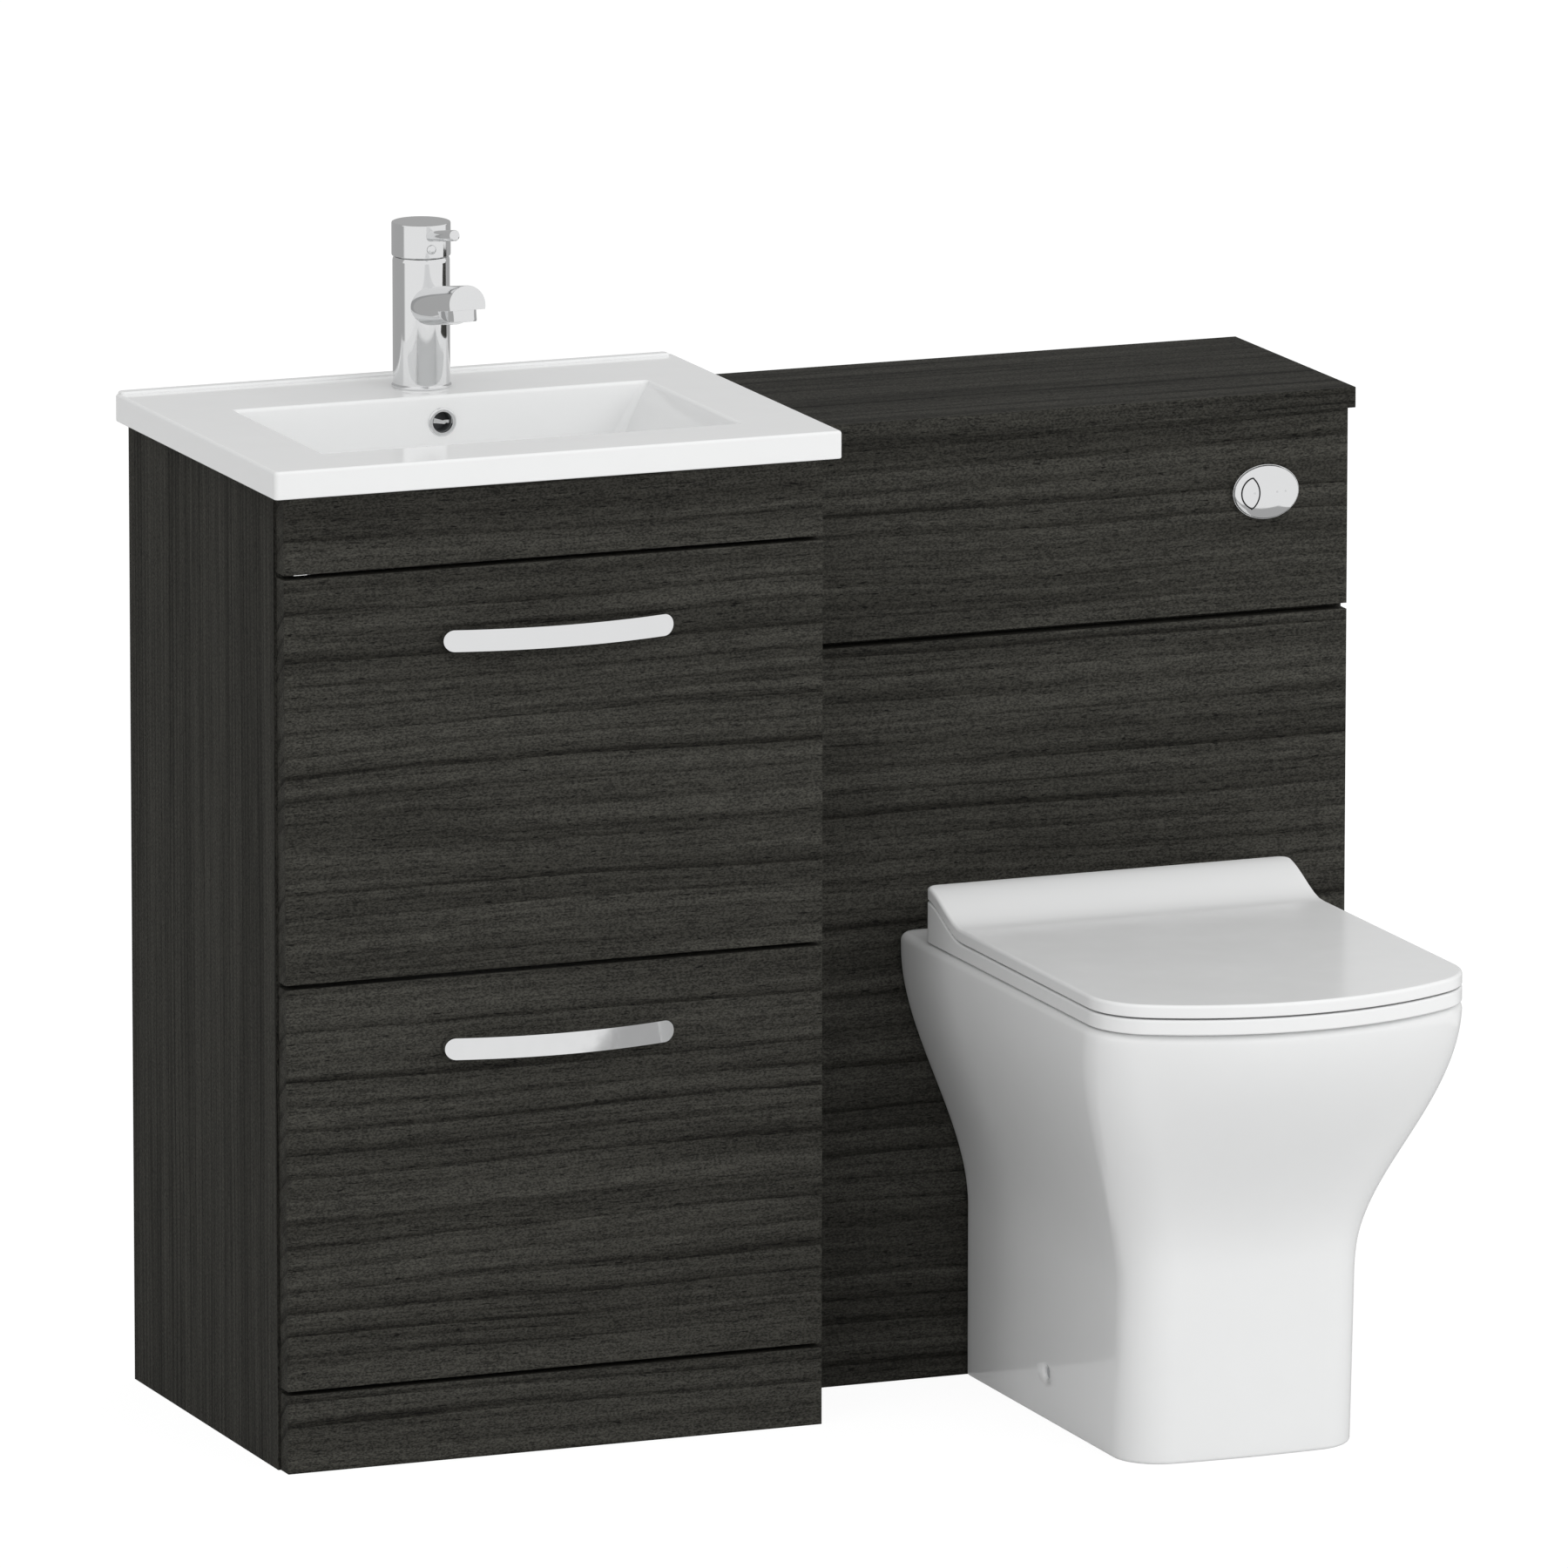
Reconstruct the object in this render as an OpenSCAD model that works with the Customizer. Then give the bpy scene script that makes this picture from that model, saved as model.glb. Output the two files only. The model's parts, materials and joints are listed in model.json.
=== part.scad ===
// Toilet and basin combination unit: a two-drawer vanity with an inset ceramic basin and a mono
// mixer tap, butted to a back-to-wall toilet unit with a concealed cistern, pan, seat and lid.
// X runs along the wall, -Y points into the room and Z is up. The plan is laid out from the
// vanity's left rear corner on the wall, then moved so that the origin is the centre of the footprint.

/* [Vanity cabinet] */
// Width of the vanity carcass
vanity_w = 490; // [440:5:620]
// Depth of the vanity carcass behind its fronts
vanity_d = 354; // [340:2:420]
// Height of the side panels, up to the basin's underside
vanity_h = 840; // [800:5:920]
// Thickness of the cabinet boards
board = 18; // [15:1:22]
// Height of the plinth panel
plinth_h = 67.5; // [50:0.5:110]
// Height of each drawer front
drawer_front_h = 346; // [320:1:352]
// Gap between neighbouring fronts
front_gap = 4; // [2:0.5:6]
// Set-back of the fronts from the carcass sides
front_reveal = 2.4; // [0:0.2:5]

/* [Drawers] */
// Length of the drawer box and of its runners
runner_len = 300; // [250:10:310]
// Space each runner takes between carcass and drawer
runner_gap = 12.7; // [12.2:0.1:13.5]
// Height of the runner's outer member
runner_h = 45; // [38:1:53]
// Steel thickness of the runner members
runner_t = 1.2; // [1:0.1:1.5]
// Thickness of the drawer box boards
box_board = 12; // [10:1:15]
// Thickness of the drawer bottoms
box_base_t = 6; // [4:1:9]
// Height of the upper drawer box
upper_box_h = 170; // [120:5:180]
// Height of the lower drawer box
lower_box_h = 230; // [120:5:250]
// Width of the recess that clears the trap
trap_recess_w = 160; // [140:5:200]
// Depth of the recess that clears the trap
trap_recess_d = 216; // [205:1:240]

/* [Handles] */
// Overall length of a bow handle
handle_len = 207; // [150:1:260]
// Height of the handle strap
handle_h = 18.6; // [12:0.2:26]
// Distance between the fixing screws
handle_centres = 180; // [128:4:188]
// Outward bow of the strap at mid length
handle_bow = 15.5; // [8:0.5:24]
// Thickness of the strap
handle_t = 5; // [3:0.5:8]
// Height of the handle's feet
handle_foot = 4; // [2:0.5:8]
// Distance from the drawer front's top edge to the handle
handle_drop = 60; // [40:1:120]

/* [Basin] */
// How far the basin passes the vanity on the left
basin_over_left = 12; // [5:1:15]
// How far the basin passes the vanity on the right
basin_over_right = 8; // [5:1:12]
// Depth of the basin from the wall
basin_d = 391; // [382:1:470]
// Height of the basin's edge
basin_t = 24; // [16:1:40]
// Height of the ledge along the wall
ledge_h = 2.5; // [1:0.5:12]
// Width of the ledge along the wall
ledge_w = 12; // [8:1:20]
// Length of the bowl opening
bowl_w = 374; // [320:2:400]
// Width of the bowl opening
bowl_d = 213; // [190:1:222]
// Distance from the wall to the bowl opening
bowl_back = 112; // [106:1:125]
// Depth of the bowl
bowl_depth = 110; // [90:1:125]
// Thickness of the basin's ceramic
ceramic = 12; // [10:1:15]
// Radius of the basin waste hole
waste_r = 22.5; // [20:0.5:25]
// Radius of the overflow hole
overflow_r = 9; // [7:0.5:11]

/* [Tap] */
// Radius of the tap body
tap_r = 24.5; // [20:0.5:28]
// Height of the tap to the top of its cap
tap_h = 142.5; // [130:0.5:170]
// Height of the turning cap
tap_cap_h = 29; // [25:0.5:34]
// Distance of the tap from the wall
tap_y = 64; // [50:1:74]
// Radius of the spout
spout_r = 16.5; // [12:0.5:18]
// Reach of the spout from the tap's axis
spout_len = 112; // [95:1:130]
// Height of the spout's axis where it leaves the tap's axis
spout_z = 69; // [50:1:76]
// Upward slope of the spout and the lever
spout_tilt = 10; // [5:1:15]
// Radius of the lever pin
lever_r = 4.8; // [3:0.2:6]
// Reach of the lever pin from the tap's axis
lever_len = 82; // [60:1:110]

/* [Toilet unit] */
// Width of the toilet unit
wc_w = 537; // [500:5:640]
// Depth of the toilet unit's carcass behind its fascias
wc_d = 232; // [225:1:270]
// Height of the toilet unit's side panels
wc_h = 825; // [795:5:860]
// Thickness of the worktop
worktop_t = 18; // [15:1:30]
// Front overhang of the worktop
worktop_over = 11; // [0:1:25]
// Height of the lower fascia
lower_fascia_h = 647; // [600:1:680]
// Gap between the two fascias
fascia_gap = 5; // [3:0.5:8]
// Centre of the flush plate from the toilet unit's left side
flush_x = 456; // [420:1:460]
// Height of the flush plate's centre
flush_z = 756; // [730:1:760]
// Width of the flush plate
flush_w = 61.6; // [55:0.2:70]
// Height of the flush plate
flush_h = 47.8; // [44:0.2:54]
// Travel of the flush buttons
flush_travel = 4; // [2:0.5:5]

/* [Cistern] */
// Width of the cistern tank
tank_w = 350; // [300:5:380]
// Depth of the cistern tank
tank_d = 135; // [110:5:145]
// Height of the cistern tank
tank_h = 330; // [300:5:340]
// Wall thickness of the cistern tank
tank_wall = 3; // [2.5:0.5:4]
// Underside of the cistern above the floor
tank_z = 455; // [440:5:470]
// Travel of the fill valve's float
float_travel = 60; // [30:5:80]

/* [Pan] */
// Centre of the pan from the toilet unit's left side
pan_x_in_unit = 288; // [250:1:300]
// Width of the pan at the rim
pan_rim_w = 342; // [330:1:380]
// Width of the pan at the floor
pan_base_w = 216; // [200:1:260]
// Height of the pan's rim
pan_rim_h = 396; // [385:1:440]
// Reach of the rim in front of the fascia
pan_rim_reach = 498; // [480:1:540]
// Reach of the foot in front of the fascia
pan_base_reach = 369; // [340:1:420]
// Height at which the sides begin to flare
pan_waist_z = 150; // [120:1:180]
// Thickness of the pan's walls
pan_wall = 13; // [11:0.5:16]
// Half width of the bowl opening in the rim
pan_bowl_half = 120; // [110:1:126]
// Height of the pan outlet's centre
outlet_z = 180; // [176:1:190]
// Radius of the pan outlet spigot
outlet_r = 51; // [48:0.5:52]
// Height of the flush pipe at the pan
inlet_z = 312; // [306:1:318]
// Radius of the flush pipe
flush_pipe_r = 25; // [20:0.5:27]
// Radius of the side fixing holes
side_hole_r = 5.5; // [4:0.5:7]

/* [Seat and lid] */
// Width of the seat and the lid
seat_w = 337; // [325:1:370]
// Reach of the seat and the lid in front of the fascia
seat_reach = 502; // [484:1:545]
// Thickness of the seat in front
seat_t = 13; // [11:0.5:16]
// Thickness of the lid
lid_t = 11; // [9:0.5:14]
// Rise of the lid's tail above its flat top
lid_rise = 23.5; // [18:0.5:26]
// Gap between the pan, the seat and the lid
seat_gap = 1.6; // [1.2:0.1:2.4]
// Distance between the seat hinges
hinge_centres = 155; // [140:1:170]
// Radius of the hinge pins
hinge_pin_r = 4; // [3:0.5:5]

/* [Hidden] */

wood = [0.20, 0.20, 0.185];
carcass_wood = [0.24, 0.24, 0.225];
box_wood = [0.78, 0.79, 0.80];
white = [0.95, 0.95, 0.95];
chrome = [0.80, 0.81, 0.83];
steel = [0.66, 0.67, 0.69];
plastic = [0.88, 0.89, 0.90];
dark_plastic = [0.30, 0.31, 0.33];
$fn = 64;
slide_fit = 0.4;     // play between pieces that move past each other
pin_fit = 0.05;      // radial play of a pin in its bore
cut = 1;             // overrun of a cutting shape

front_y = -(vanity_d + board);
fascia_y = -(wc_d + board);
seat_front_y = fascia_y - seat_reach;
wc_x = vanity_w;
pan_x = wc_x + pan_x_in_unit;
x_min = -basin_over_left;
x_max = wc_x + wc_w;
origin = [(x_min + x_max) / 2, seat_front_y / 2, 0];

// ---------------------------------------------------------------- shared geometry
function lerp(a, b, t) = a + (b - a) * t;
function clamp01(t) = min(1, max(0, t));
function smooth(t) = let (u = clamp01(t)) u * u * (3 - 2 * u);
function flip(list) = [for (i = [len(list) - 1 : -1 : 0]) list[i]];
function arc(c, r, a0, a1, n) = [for (i = [0 : n]) let (a = lerp(a0, a1, i / n)) c + r * [cos(a), sin(a)]];

// Plan outline, symmetric about X = 0, with rounded rear corners, straight sides, round front
// corners and a bowed front. It runs anticlockwise from the rear left, so that point i and
// point n-1-i are mirror images. Every outline has the same number of points.
bow_n = 5;
corner_n = 6;
side_n = 6;
rear_n = 3;
function half_plan(w, back, front, rc, bow, rb, sides) =
    let (r = min(rc, w - 1), big = max(bow, w + 1), cy = front + big,
         yc = cy - sqrt(pow(big - r, 2) - pow(w - r, 2)),
         a = atan2(yc - cy, w - r))
    concat([for (i = [0 : bow_n - 1])
            let (t = lerp(-90, a, (i + 0.5) / bow_n)) [big * cos(t), cy + big * sin(t)]],
        arc([w - r, yc], r, a, 0, corner_n),
        [for (i = [1 : sides]) [w, lerp(yc, back - rb, 1 - pow(1 - i / (sides + 1), 2))]],
        arc([w - rb, back - rb], rb, 0, 90, rear_n));
function plan(w, back, front, rc, bow, rb, sides = side_n) =
    let (h = half_plan(w, back, front, rc, bow, rb, sides))
    concat([for (p = flip(h)) [-p[0], p[1]]], h);

// Solid through a list of rings. The rings run anticlockwise seen from the last ring's side, and
// the end caps are ladders of flat strips, so that a cap may follow a curve along Y.
module skin(rings) {
    n = len(rings[0]);
    m = len(rings);
    points = [for (ring = rings) each ring];
    sides = [for (j = [0 : m - 2]) for (i = [0 : n - 1]) let (k = (i + 1) % n)
        each [[j * n + i, (j + 1) * n + i, (j + 1) * n + k], [j * n + i, (j + 1) * n + k, j * n + k]]];
    function ladder(s, up) = [for (i = [0 : n / 2 - 2])
        let (a = s + i, b = s + i + 1, c = s + n - 2 - i, d = s + n - 1 - i)
        each (up ? [[a, c, b], [a, d, c]] : [[a, b, c], [a, c, d]])];
    polyhedron(points, concat(sides, ladder(0, false), ladder((m - 1) * n, true)), convexity = 6);
}
function at_z(ring, z) = [for (p = ring) [p[0], p[1], z]];

// Round bar along a route in the YZ plane, for ceramic and pipe bends
bend_n = 16;
function route_ring(route, i, r) =
    let (n = len(route), a = route[max(0, i - 1)], b = route[min(n - 1, i + 1)],
         d = (b - a) / norm(b - a))
    [for (k = [0 : bend_n - 1]) let (t = 180 * (2 * k + 1) / bend_n)
        [r * sin(t), route[i][0] - r * cos(t) * d[1], route[i][1] + r * cos(t) * d[0]]];
module bend_bar(route, r) {
    skin([for (i = [0 : len(route) - 1]) route_ring(route, i, r)]);
}

module rounded_rect(x, y, r) {
    translate([r, 0]) square([x - 2 * r, y]);
    translate([0, r]) square([x, y - 2 * r]);
    for (px = [r, x - r]) for (py = [r, y - r]) translate([px, py]) circle(r);
}
// Panel between two corners
module panel(a, b) { translate(a) cube(b - a); }
// Cylinder along -Y from a point on its axis
module bar_y(p, r, len) { translate(p) rotate([90, 0, 0]) cylinder(r = r, h = len); }
module bar_x(p, r, len) { translate(p) rotate([0, 90, 0]) cylinder(r = r, h = len); }
module place() { translate(-origin) children(); }

// ---------------------------------------------------------------- vanity cabinet
base_z = plinth_h;
lower_front_z = plinth_h + front_gap;
upper_front_z = lower_front_z + drawer_front_h + front_gap;
top_front_z = upper_front_z + drawer_front_h + front_gap;
rail_d = 18;
top_rail_h = 60;
low_rail_h = 90;
wall_screw_r = 3;
wall_screw_spacing = vanity_w - 150;
trap_x = (vanity_w + basin_over_right - basin_over_left) / 2;
pipe_r = 16;

module vanity_side(x) { color(carcass_wood) panel([x, -vanity_d, 0], [x + board, 0, vanity_h]); }
module vanity_side_left() { vanity_side(0); }
module vanity_side_right() { vanity_side(vanity_w - board); }
module vanity_base() {
    color(carcass_wood) panel([board, -vanity_d, base_z], [vanity_w - board, 0, base_z + board]);
}
// Rear rails, screwed to the wall
module vanity_back_rails() {
    color(carcass_wood) {
        difference() {
            panel([board, -rail_d, vanity_h - top_rail_h], [vanity_w - board, 0, vanity_h]);
            for (s = [-1, 1])
                bar_y([vanity_w / 2 + s * wall_screw_spacing / 2, cut, vanity_h - top_rail_h / 2],
                    wall_screw_r, rail_d + 2 * cut);
        }
        panel([board, -rail_d, base_z + board], [vanity_w - board, 0, base_z + board + low_rail_h]);
    }
}
module front_panel(z, h) {
    panel([front_reveal, front_y, z], [vanity_w - front_reveal, front_y + board, z + h]);
}
module vanity_top_front() { color(wood) front_panel(top_front_z, vanity_h - top_front_z); }
module vanity_plinth() { color(wood) front_panel(0, plinth_h); }

// ---------------------------------------------------------------- basin, waste and trap
basin_w = vanity_w + basin_over_left + basin_over_right;
basin_z = vanity_h;
deck_z = basin_z + basin_t;
bowl_floor_z = deck_z - bowl_depth;
basin_x = trap_x;
tap_hole_r = 17.5;
waste_y = -(bowl_back + bowl_d * 0.45);
flange_t = 3;
flange_r = waste_r + 10;
overflow_z = deck_z - 23;
end_draft = 62;       // how far the ends slope in at the back of the bowl floor
side_draft = 10;      // how far the ends slope in at the front of the bowl floor
wall_draft = 6;       // slope of the bowl's back wall
front_draft = 14;     // slope of the bowl's front wall
lip = 2.5;            // rounding at the bowl's upper edge

// Bowl outline at a share of its depth, grown by g; the corners at the back are cut back by a
// long facet, as the ends slope more at the back than at the front
function bowl_ring(t, g, z) =
    let (back = -bowl_back - wall_draft * t + g, front = -bowl_back - bowl_d + front_draft * t - g,
         wb = bowl_w / 2 - end_draft * t + g, wf = bowl_w / 2 - side_draft * t + g,
         mid = lerp(back, front, 0.82))
    [[-wb, back, z], [-wf, mid, z], [-wf, front, z], [wf, front, z], [wf, mid, z], [wb, back, z]];

module basin() {
    color(white) translate([basin_x, 0, 0]) difference() {
        union() {
            translate([-basin_w / 2, -basin_d, basin_z])
                linear_extrude(basin_t) rounded_rect(basin_w, basin_d, 3);
            translate([-basin_w / 2 + 2, -ledge_w, deck_z - cut])
                cube([basin_w - 8, ledge_w, ledge_h + cut]);
            skin([bowl_ring(1, ceramic, bowl_floor_z - ceramic),
                bowl_ring((deck_z - basin_z - cut) / bowl_depth, ceramic, basin_z + cut)]);
        }
        skin([bowl_ring(1, 0, bowl_floor_z), bowl_ring(lip / bowl_depth, 0, deck_z - lip),
            bowl_ring(0, lip, deck_z), bowl_ring(0, lip, deck_z + cut)]);
        translate([0, waste_y, bowl_floor_z - flange_t])
            cylinder(r = flange_r + 0.5, h = flange_t + cut);
        translate([0, waste_y, bowl_floor_z - ceramic - cut])
            cylinder(r = waste_r + 0.5, h = ceramic + 2 * cut);
        translate([0, -tap_y, basin_z - cut]) cylinder(r = tap_hole_r, h = basin_t + 2 * cut);
        bar_y([0, -bowl_back + ceramic + cut, overflow_z], overflow_r, ceramic + wall_draft + 2 * cut);
    }
}
// Ring pressed into the overflow hole, with the cross bar that shows inside it
module overflow_ring() {
    ring_y = -bowl_back - wall_draft * (deck_z - overflow_z) / bowl_depth - 0.6;
    inner_r = overflow_r - 0.8;
    color(chrome) translate([basin_x, 0, overflow_z]) {
        translate([0, ring_y, 0]) rotate([90, 0, 0]) rotate_extrude()
            polygon([[inner_r, 0], [overflow_r + 3.6, 0], [overflow_r + 3.2, 1.4], [inner_r, 2]]);
        rotate([0, 35, 0]) translate([-overflow_r + 0.4, ring_y, -1]) cube([2 * overflow_r - 0.8, 1.4, 2]);
    }
}
waste_tail = 62;
module waste_body() {
    color(chrome) translate([basin_x, waste_y, bowl_floor_z - flange_t]) {
        difference() {
            union() {
                cylinder(r = flange_r, h = flange_t);
                translate([0, 0, -waste_tail]) cylinder(r = waste_r, h = waste_tail);
            }
            translate([0, 0, -waste_tail - cut])
                cylinder(r = waste_r - 3, h = waste_tail + flange_t + 2 * cut);
        }
        // spider that guides the plug's stem
        translate([0, 0, -30]) difference() {
            union() {
                for (a = [0, 90]) rotate(a)
                    translate([-waste_r + 3, -1.5, 0]) cube([2 * waste_r - 6, 3, 6]);
                cylinder(r = 7, h = 6);
            }
            translate([0, 0, -cut]) cylinder(r = plug_stem_r + slide_fit, h = 6 + 2 * cut);
        }
        // backnut under the bowl
        translate([0, 0, -ceramic + flange_t - 9]) difference() {
            cylinder(r = waste_r + 9, h = 9, $fn = 6);
            translate([0, 0, -cut]) cylinder(r = waste_r, h = 9 + 2 * cut);
        }
    }
}
plug_stem_r = 3.5;
module waste_plug() {
    color(chrome) translate([basin_x, waste_y, bowl_floor_z + slide_fit]) {
        cylinder(r1 = flange_r - 1.5, r2 = flange_r - 4, h = 4);
        translate([0, 0, -38]) cylinder(r = plug_stem_r, h = 39);
    }
}
trap_r = 30;
trap_top_z = bowl_floor_z - flange_t - waste_tail;
trap_h = 80;
module bottle_trap() {
    arm_z = trap_top_z - 40;
    color(plastic) translate([basin_x, waste_y, 0]) {
        // cap nut that takes the waste's tail
        translate([0, 0, trap_top_z - 12]) difference() {
            cylinder(r = waste_r + 6, h = 30);
            translate([0, 0, 12]) cylinder(r = waste_r + 0.2, h = 30);
            translate([0, 0, -cut]) cylinder(r = pipe_r - 2, h = 30);
        }
        // bottle with its clean-out cap
        difference() {
            translate([0, 0, trap_top_z - 12 - trap_h]) union() {
                cylinder(r = trap_r, h = trap_h);
                translate([0, 0, -12]) cylinder(r = trap_r + 3, h = 18);
            }
            translate([0, 0, trap_top_z - 12 - trap_h]) cylinder(r = trap_r - 3, h = trap_h - 3);
            translate([0, 0, trap_top_z - 20]) cylinder(r = pipe_r - 2, h = 20);
        }
        // waste pipe to the wall, in the nut of the bottle's outlet
        difference() {
            union() {
                bar_y([0, -waste_y, arm_z], pipe_r, 90);
                bar_y([0, -waste_y - 60, arm_z], pipe_r + 8, 26);
                bar_y([0, -waste_y - 80, arm_z], pipe_r + 3, -waste_y - trap_r - 76);
            }
            bar_y([0, -waste_y + cut, arm_z], pipe_r - 2.5, -waste_y - trap_r + 8);
        }
    }
}

// ---------------------------------------------------------------- tap
cap_gap = 2.4;
neck_r = 16;
neck_h = 9;
cap_r = tap_r + 0.8;
cap_wall = 2.2;
tap_body_h = tap_h - tap_cap_h - cap_gap;
tap_foot_h = 3;
spout_flat = 4.5;
aerator_r = 12.3;
aerator_at = spout_len - 15;
module at_tap() { translate([basin_x, -tap_y, deck_z]) children(); }
module along_spout(z) { translate([0, 0, z]) rotate([90 - spout_tilt, 0, 0]) children(); }

module tap_body() {
    color(chrome) at_tap() difference() {
        union() {
            rotate_extrude() polygon([[0, 0], [tap_r + 1.4, 0], [tap_r + 1.4, tap_foot_h - 1],
                [tap_r + 0.6, tap_foot_h], [tap_r, tap_foot_h], [tap_r, tap_body_h - 3],
                [tap_r - 2, tap_body_h], [0, tap_body_h]]);
            along_spout(spout_z) cylinder(r = spout_r, h = spout_len);
        }
        // flat under the spout's end, and its sloped start
        along_spout(spout_z) rotate([0, 0, 180])
            translate([-spout_r - cut, spout_flat, aerator_at - aerator_r - 3])
                cube([2 * spout_r + 2 * cut, spout_r, spout_len]);
        // waterway, which opens into the flat
        along_spout(spout_z) rotate([90, 0, 0]) translate([0, aerator_at, -5])
            cylinder(r = 8, h = spout_flat + 5 + cut);
        translate([0, 0, -cut]) cylinder(r = tap_tail_r, h = 40);
    }
}
module tap_aerator() {
    color(chrome) at_tap() along_spout(spout_z) rotate([90, 0, 0]) translate([0, aerator_at, spout_flat])
        difference() {
            rotate_extrude()
                polygon([[0, 0], [aerator_r, 0], [aerator_r, 9], [aerator_r - 1, 10], [0, 10]]);
            translate([0, 0, 7]) cylinder(r = aerator_r - 2.5, h = 4);
        }
}
module tap_cartridge() {
    color(dark_plastic) at_tap() translate([0, 0, tap_body_h]) cylinder(r = neck_r, h = neck_h);
}
module tap_stem() {
    color(steel) at_tap() translate([0, 0, tap_body_h + neck_h + slide_fit]) cylinder(r = 5, h = 4);
}
module tap_cap() {
    cap_z = tap_body_h + cap_gap;
    color(chrome) at_tap() difference() {
        translate([0, 0, cap_z]) rotate_extrude() polygon([[0, 0], [cap_r - 0.8, 0], [cap_r, 0.8],
            [cap_r, tap_cap_h - 1], [cap_r - 1, tap_cap_h], [0, tap_cap_h]]);
        translate([0, 0, cap_z - cut]) cylinder(r = cap_r - cap_wall, h = tap_cap_h - 6 + cut);
        along_spout(lever_root_z) cylinder(r = lever_pin_r + pin_fit, h = lever_len);
        translate([0, -cap_r + 1.2, indicator_z]) rotate([90, 0, 0]) cylinder(r = indicator_r, h = 5);
    }
}
lever_root_z = tap_h - 8.8 - 27 * tan(spout_tilt);
lever_pin_r = lever_r - 1;
// Lever: a pin pressed into the cap's wall, and a collar fitted to the cap's round side
module tap_lever() {
    collar_from = cap_r - 1;
    collar_len = lever_len - collar_from;
    color(chrome) at_tap() {
        intersection() {
            along_spout(lever_root_z) cylinder(r = lever_pin_r, h = cap_r + 4);
            translate([-lever_r, -2 * lever_len, 0])
                cube([2 * lever_r, 2 * lever_len - cap_r + cap_wall + 0.4, 2 * tap_h]);
        }
        difference() {
            along_spout(lever_root_z) translate([0, 0, collar_from]) rotate_extrude()
                polygon([[0, 0], [lever_r, 0], [lever_r, collar_len - 0.8], [lever_r - 0.8, collar_len],
                    [0, collar_len]]);
            translate([0, 0, tap_h - tap_cap_h]) cylinder(r = cap_r + 2 * pin_fit, h = 2 * tap_cap_h);
        }
    }
}
indicator_r = 4;
indicator_z = tap_h - 20.8;
module tap_indicator() {
    color([0.75, 0.76, 0.79]) at_tap() translate([0, -cap_r + 1.2, indicator_z]) rotate([90, 0, 0])
        cylinder(r1 = indicator_r, r2 = indicator_r - 0.4, h = 1.8);
}
// Threaded tail, horseshoe washer and backnut under the basin
tap_tail_r = 12;
tap_tail = 50;        // length of the tail under the basin
tap_tail_up = 30;     // length of the tail inside the tap
tap_bore_r = 8;
tap_bore_mouth = 45;  // length of the mouth that takes the two supply hoses
module tap_fixing() {
    color("goldenrod") at_tap() translate([0, 0, -basin_t]) {
        difference() {
            translate([0, 0, -tap_tail]) cylinder(r = tap_tail_r, h = tap_tail + basin_t + tap_tail_up);
            translate([0, 0, -tap_tail - cut]) cylinder(r = tap_bore_r, h = tap_bore_mouth + 2 * cut);
            translate([0, 0, tap_bore_mouth - tap_tail])
                cylinder(r = tap_bore_r + 1, h = tap_tail + basin_t + tap_tail_up);
        }
        translate([0, 0, -4]) difference() {
            cylinder(r = tap_hole_r + 9, h = 4);
            translate([0, 0, -cut]) cylinder(r = tap_tail_r + 0.3, h = 6);
        }
        translate([0, 0, -14]) difference() {
            cylinder(r = 19, h = 10, $fn = 6);
            translate([0, 0, -cut]) cylinder(r = tap_tail_r + 0.3, h = 12);
        }
    }
}

// ---------------------------------------------------------------- drawers
box_x0 = board + runner_gap;
box_x1 = vanity_w - board - runner_gap;
box_y1 = front_y + board;
box_y0 = box_y1 + runner_len;
upper_box_z = upper_front_z + 22;
lower_box_z = lower_front_z + 28;
base_up = 10;         // drawer bottom above the box's lower edge
handle_x = vanity_w / 2;
handle_screw_r = 2;

module handle_holes(z) {
    for (s = [-1, 1]) bar_y([handle_x + s * handle_centres / 2, front_y + board + cut, z],
        handle_screw_r + 0.3, board + 2 * cut);
}
module drawer_front(z) {
    color(wood) difference() {
        front_panel(z, drawer_front_h);
        handle_holes(z + drawer_front_h - handle_drop);
    }
}
// Block that reaches the recess from the box's back, grown by g on three sides
module recess_block(g, z0, z1) {
    panel([trap_x - trap_recess_w / 2 - g, box_y0 - trap_recess_d - g, z0],
        [trap_x + trap_recess_w / 2 + g, box_y0, z1]);
}
// Sides and back of a drawer box; the recess leaves room for the trap
module box_frame(z, h, recess) {
    color(box_wood) difference() {
        union() {
            panel([box_x0, box_y1, z], [box_x0 + box_board, box_y0, z + h]);
            panel([box_x1 - box_board, box_y1, z], [box_x1, box_y0, z + h]);
            panel([box_x0 + box_board, box_y0 - box_board, z], [box_x1 - box_board, box_y0, z + h]);
            if (recess) recess_block(box_board, z, z + h);
        }
        if (recess) translate([0, cut, 0]) recess_block(0, z - cut, z + h + cut);
    }
}
module box_base(z, recess) {
    color(box_wood) difference() {
        panel([box_x0 + box_board, box_y1, z + base_up],
            [box_x1 - box_board, box_y0 - box_board, z + base_up + box_base_t]);
        if (recess) recess_block(box_board, z, z + upper_box_h);
    }
}
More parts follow.
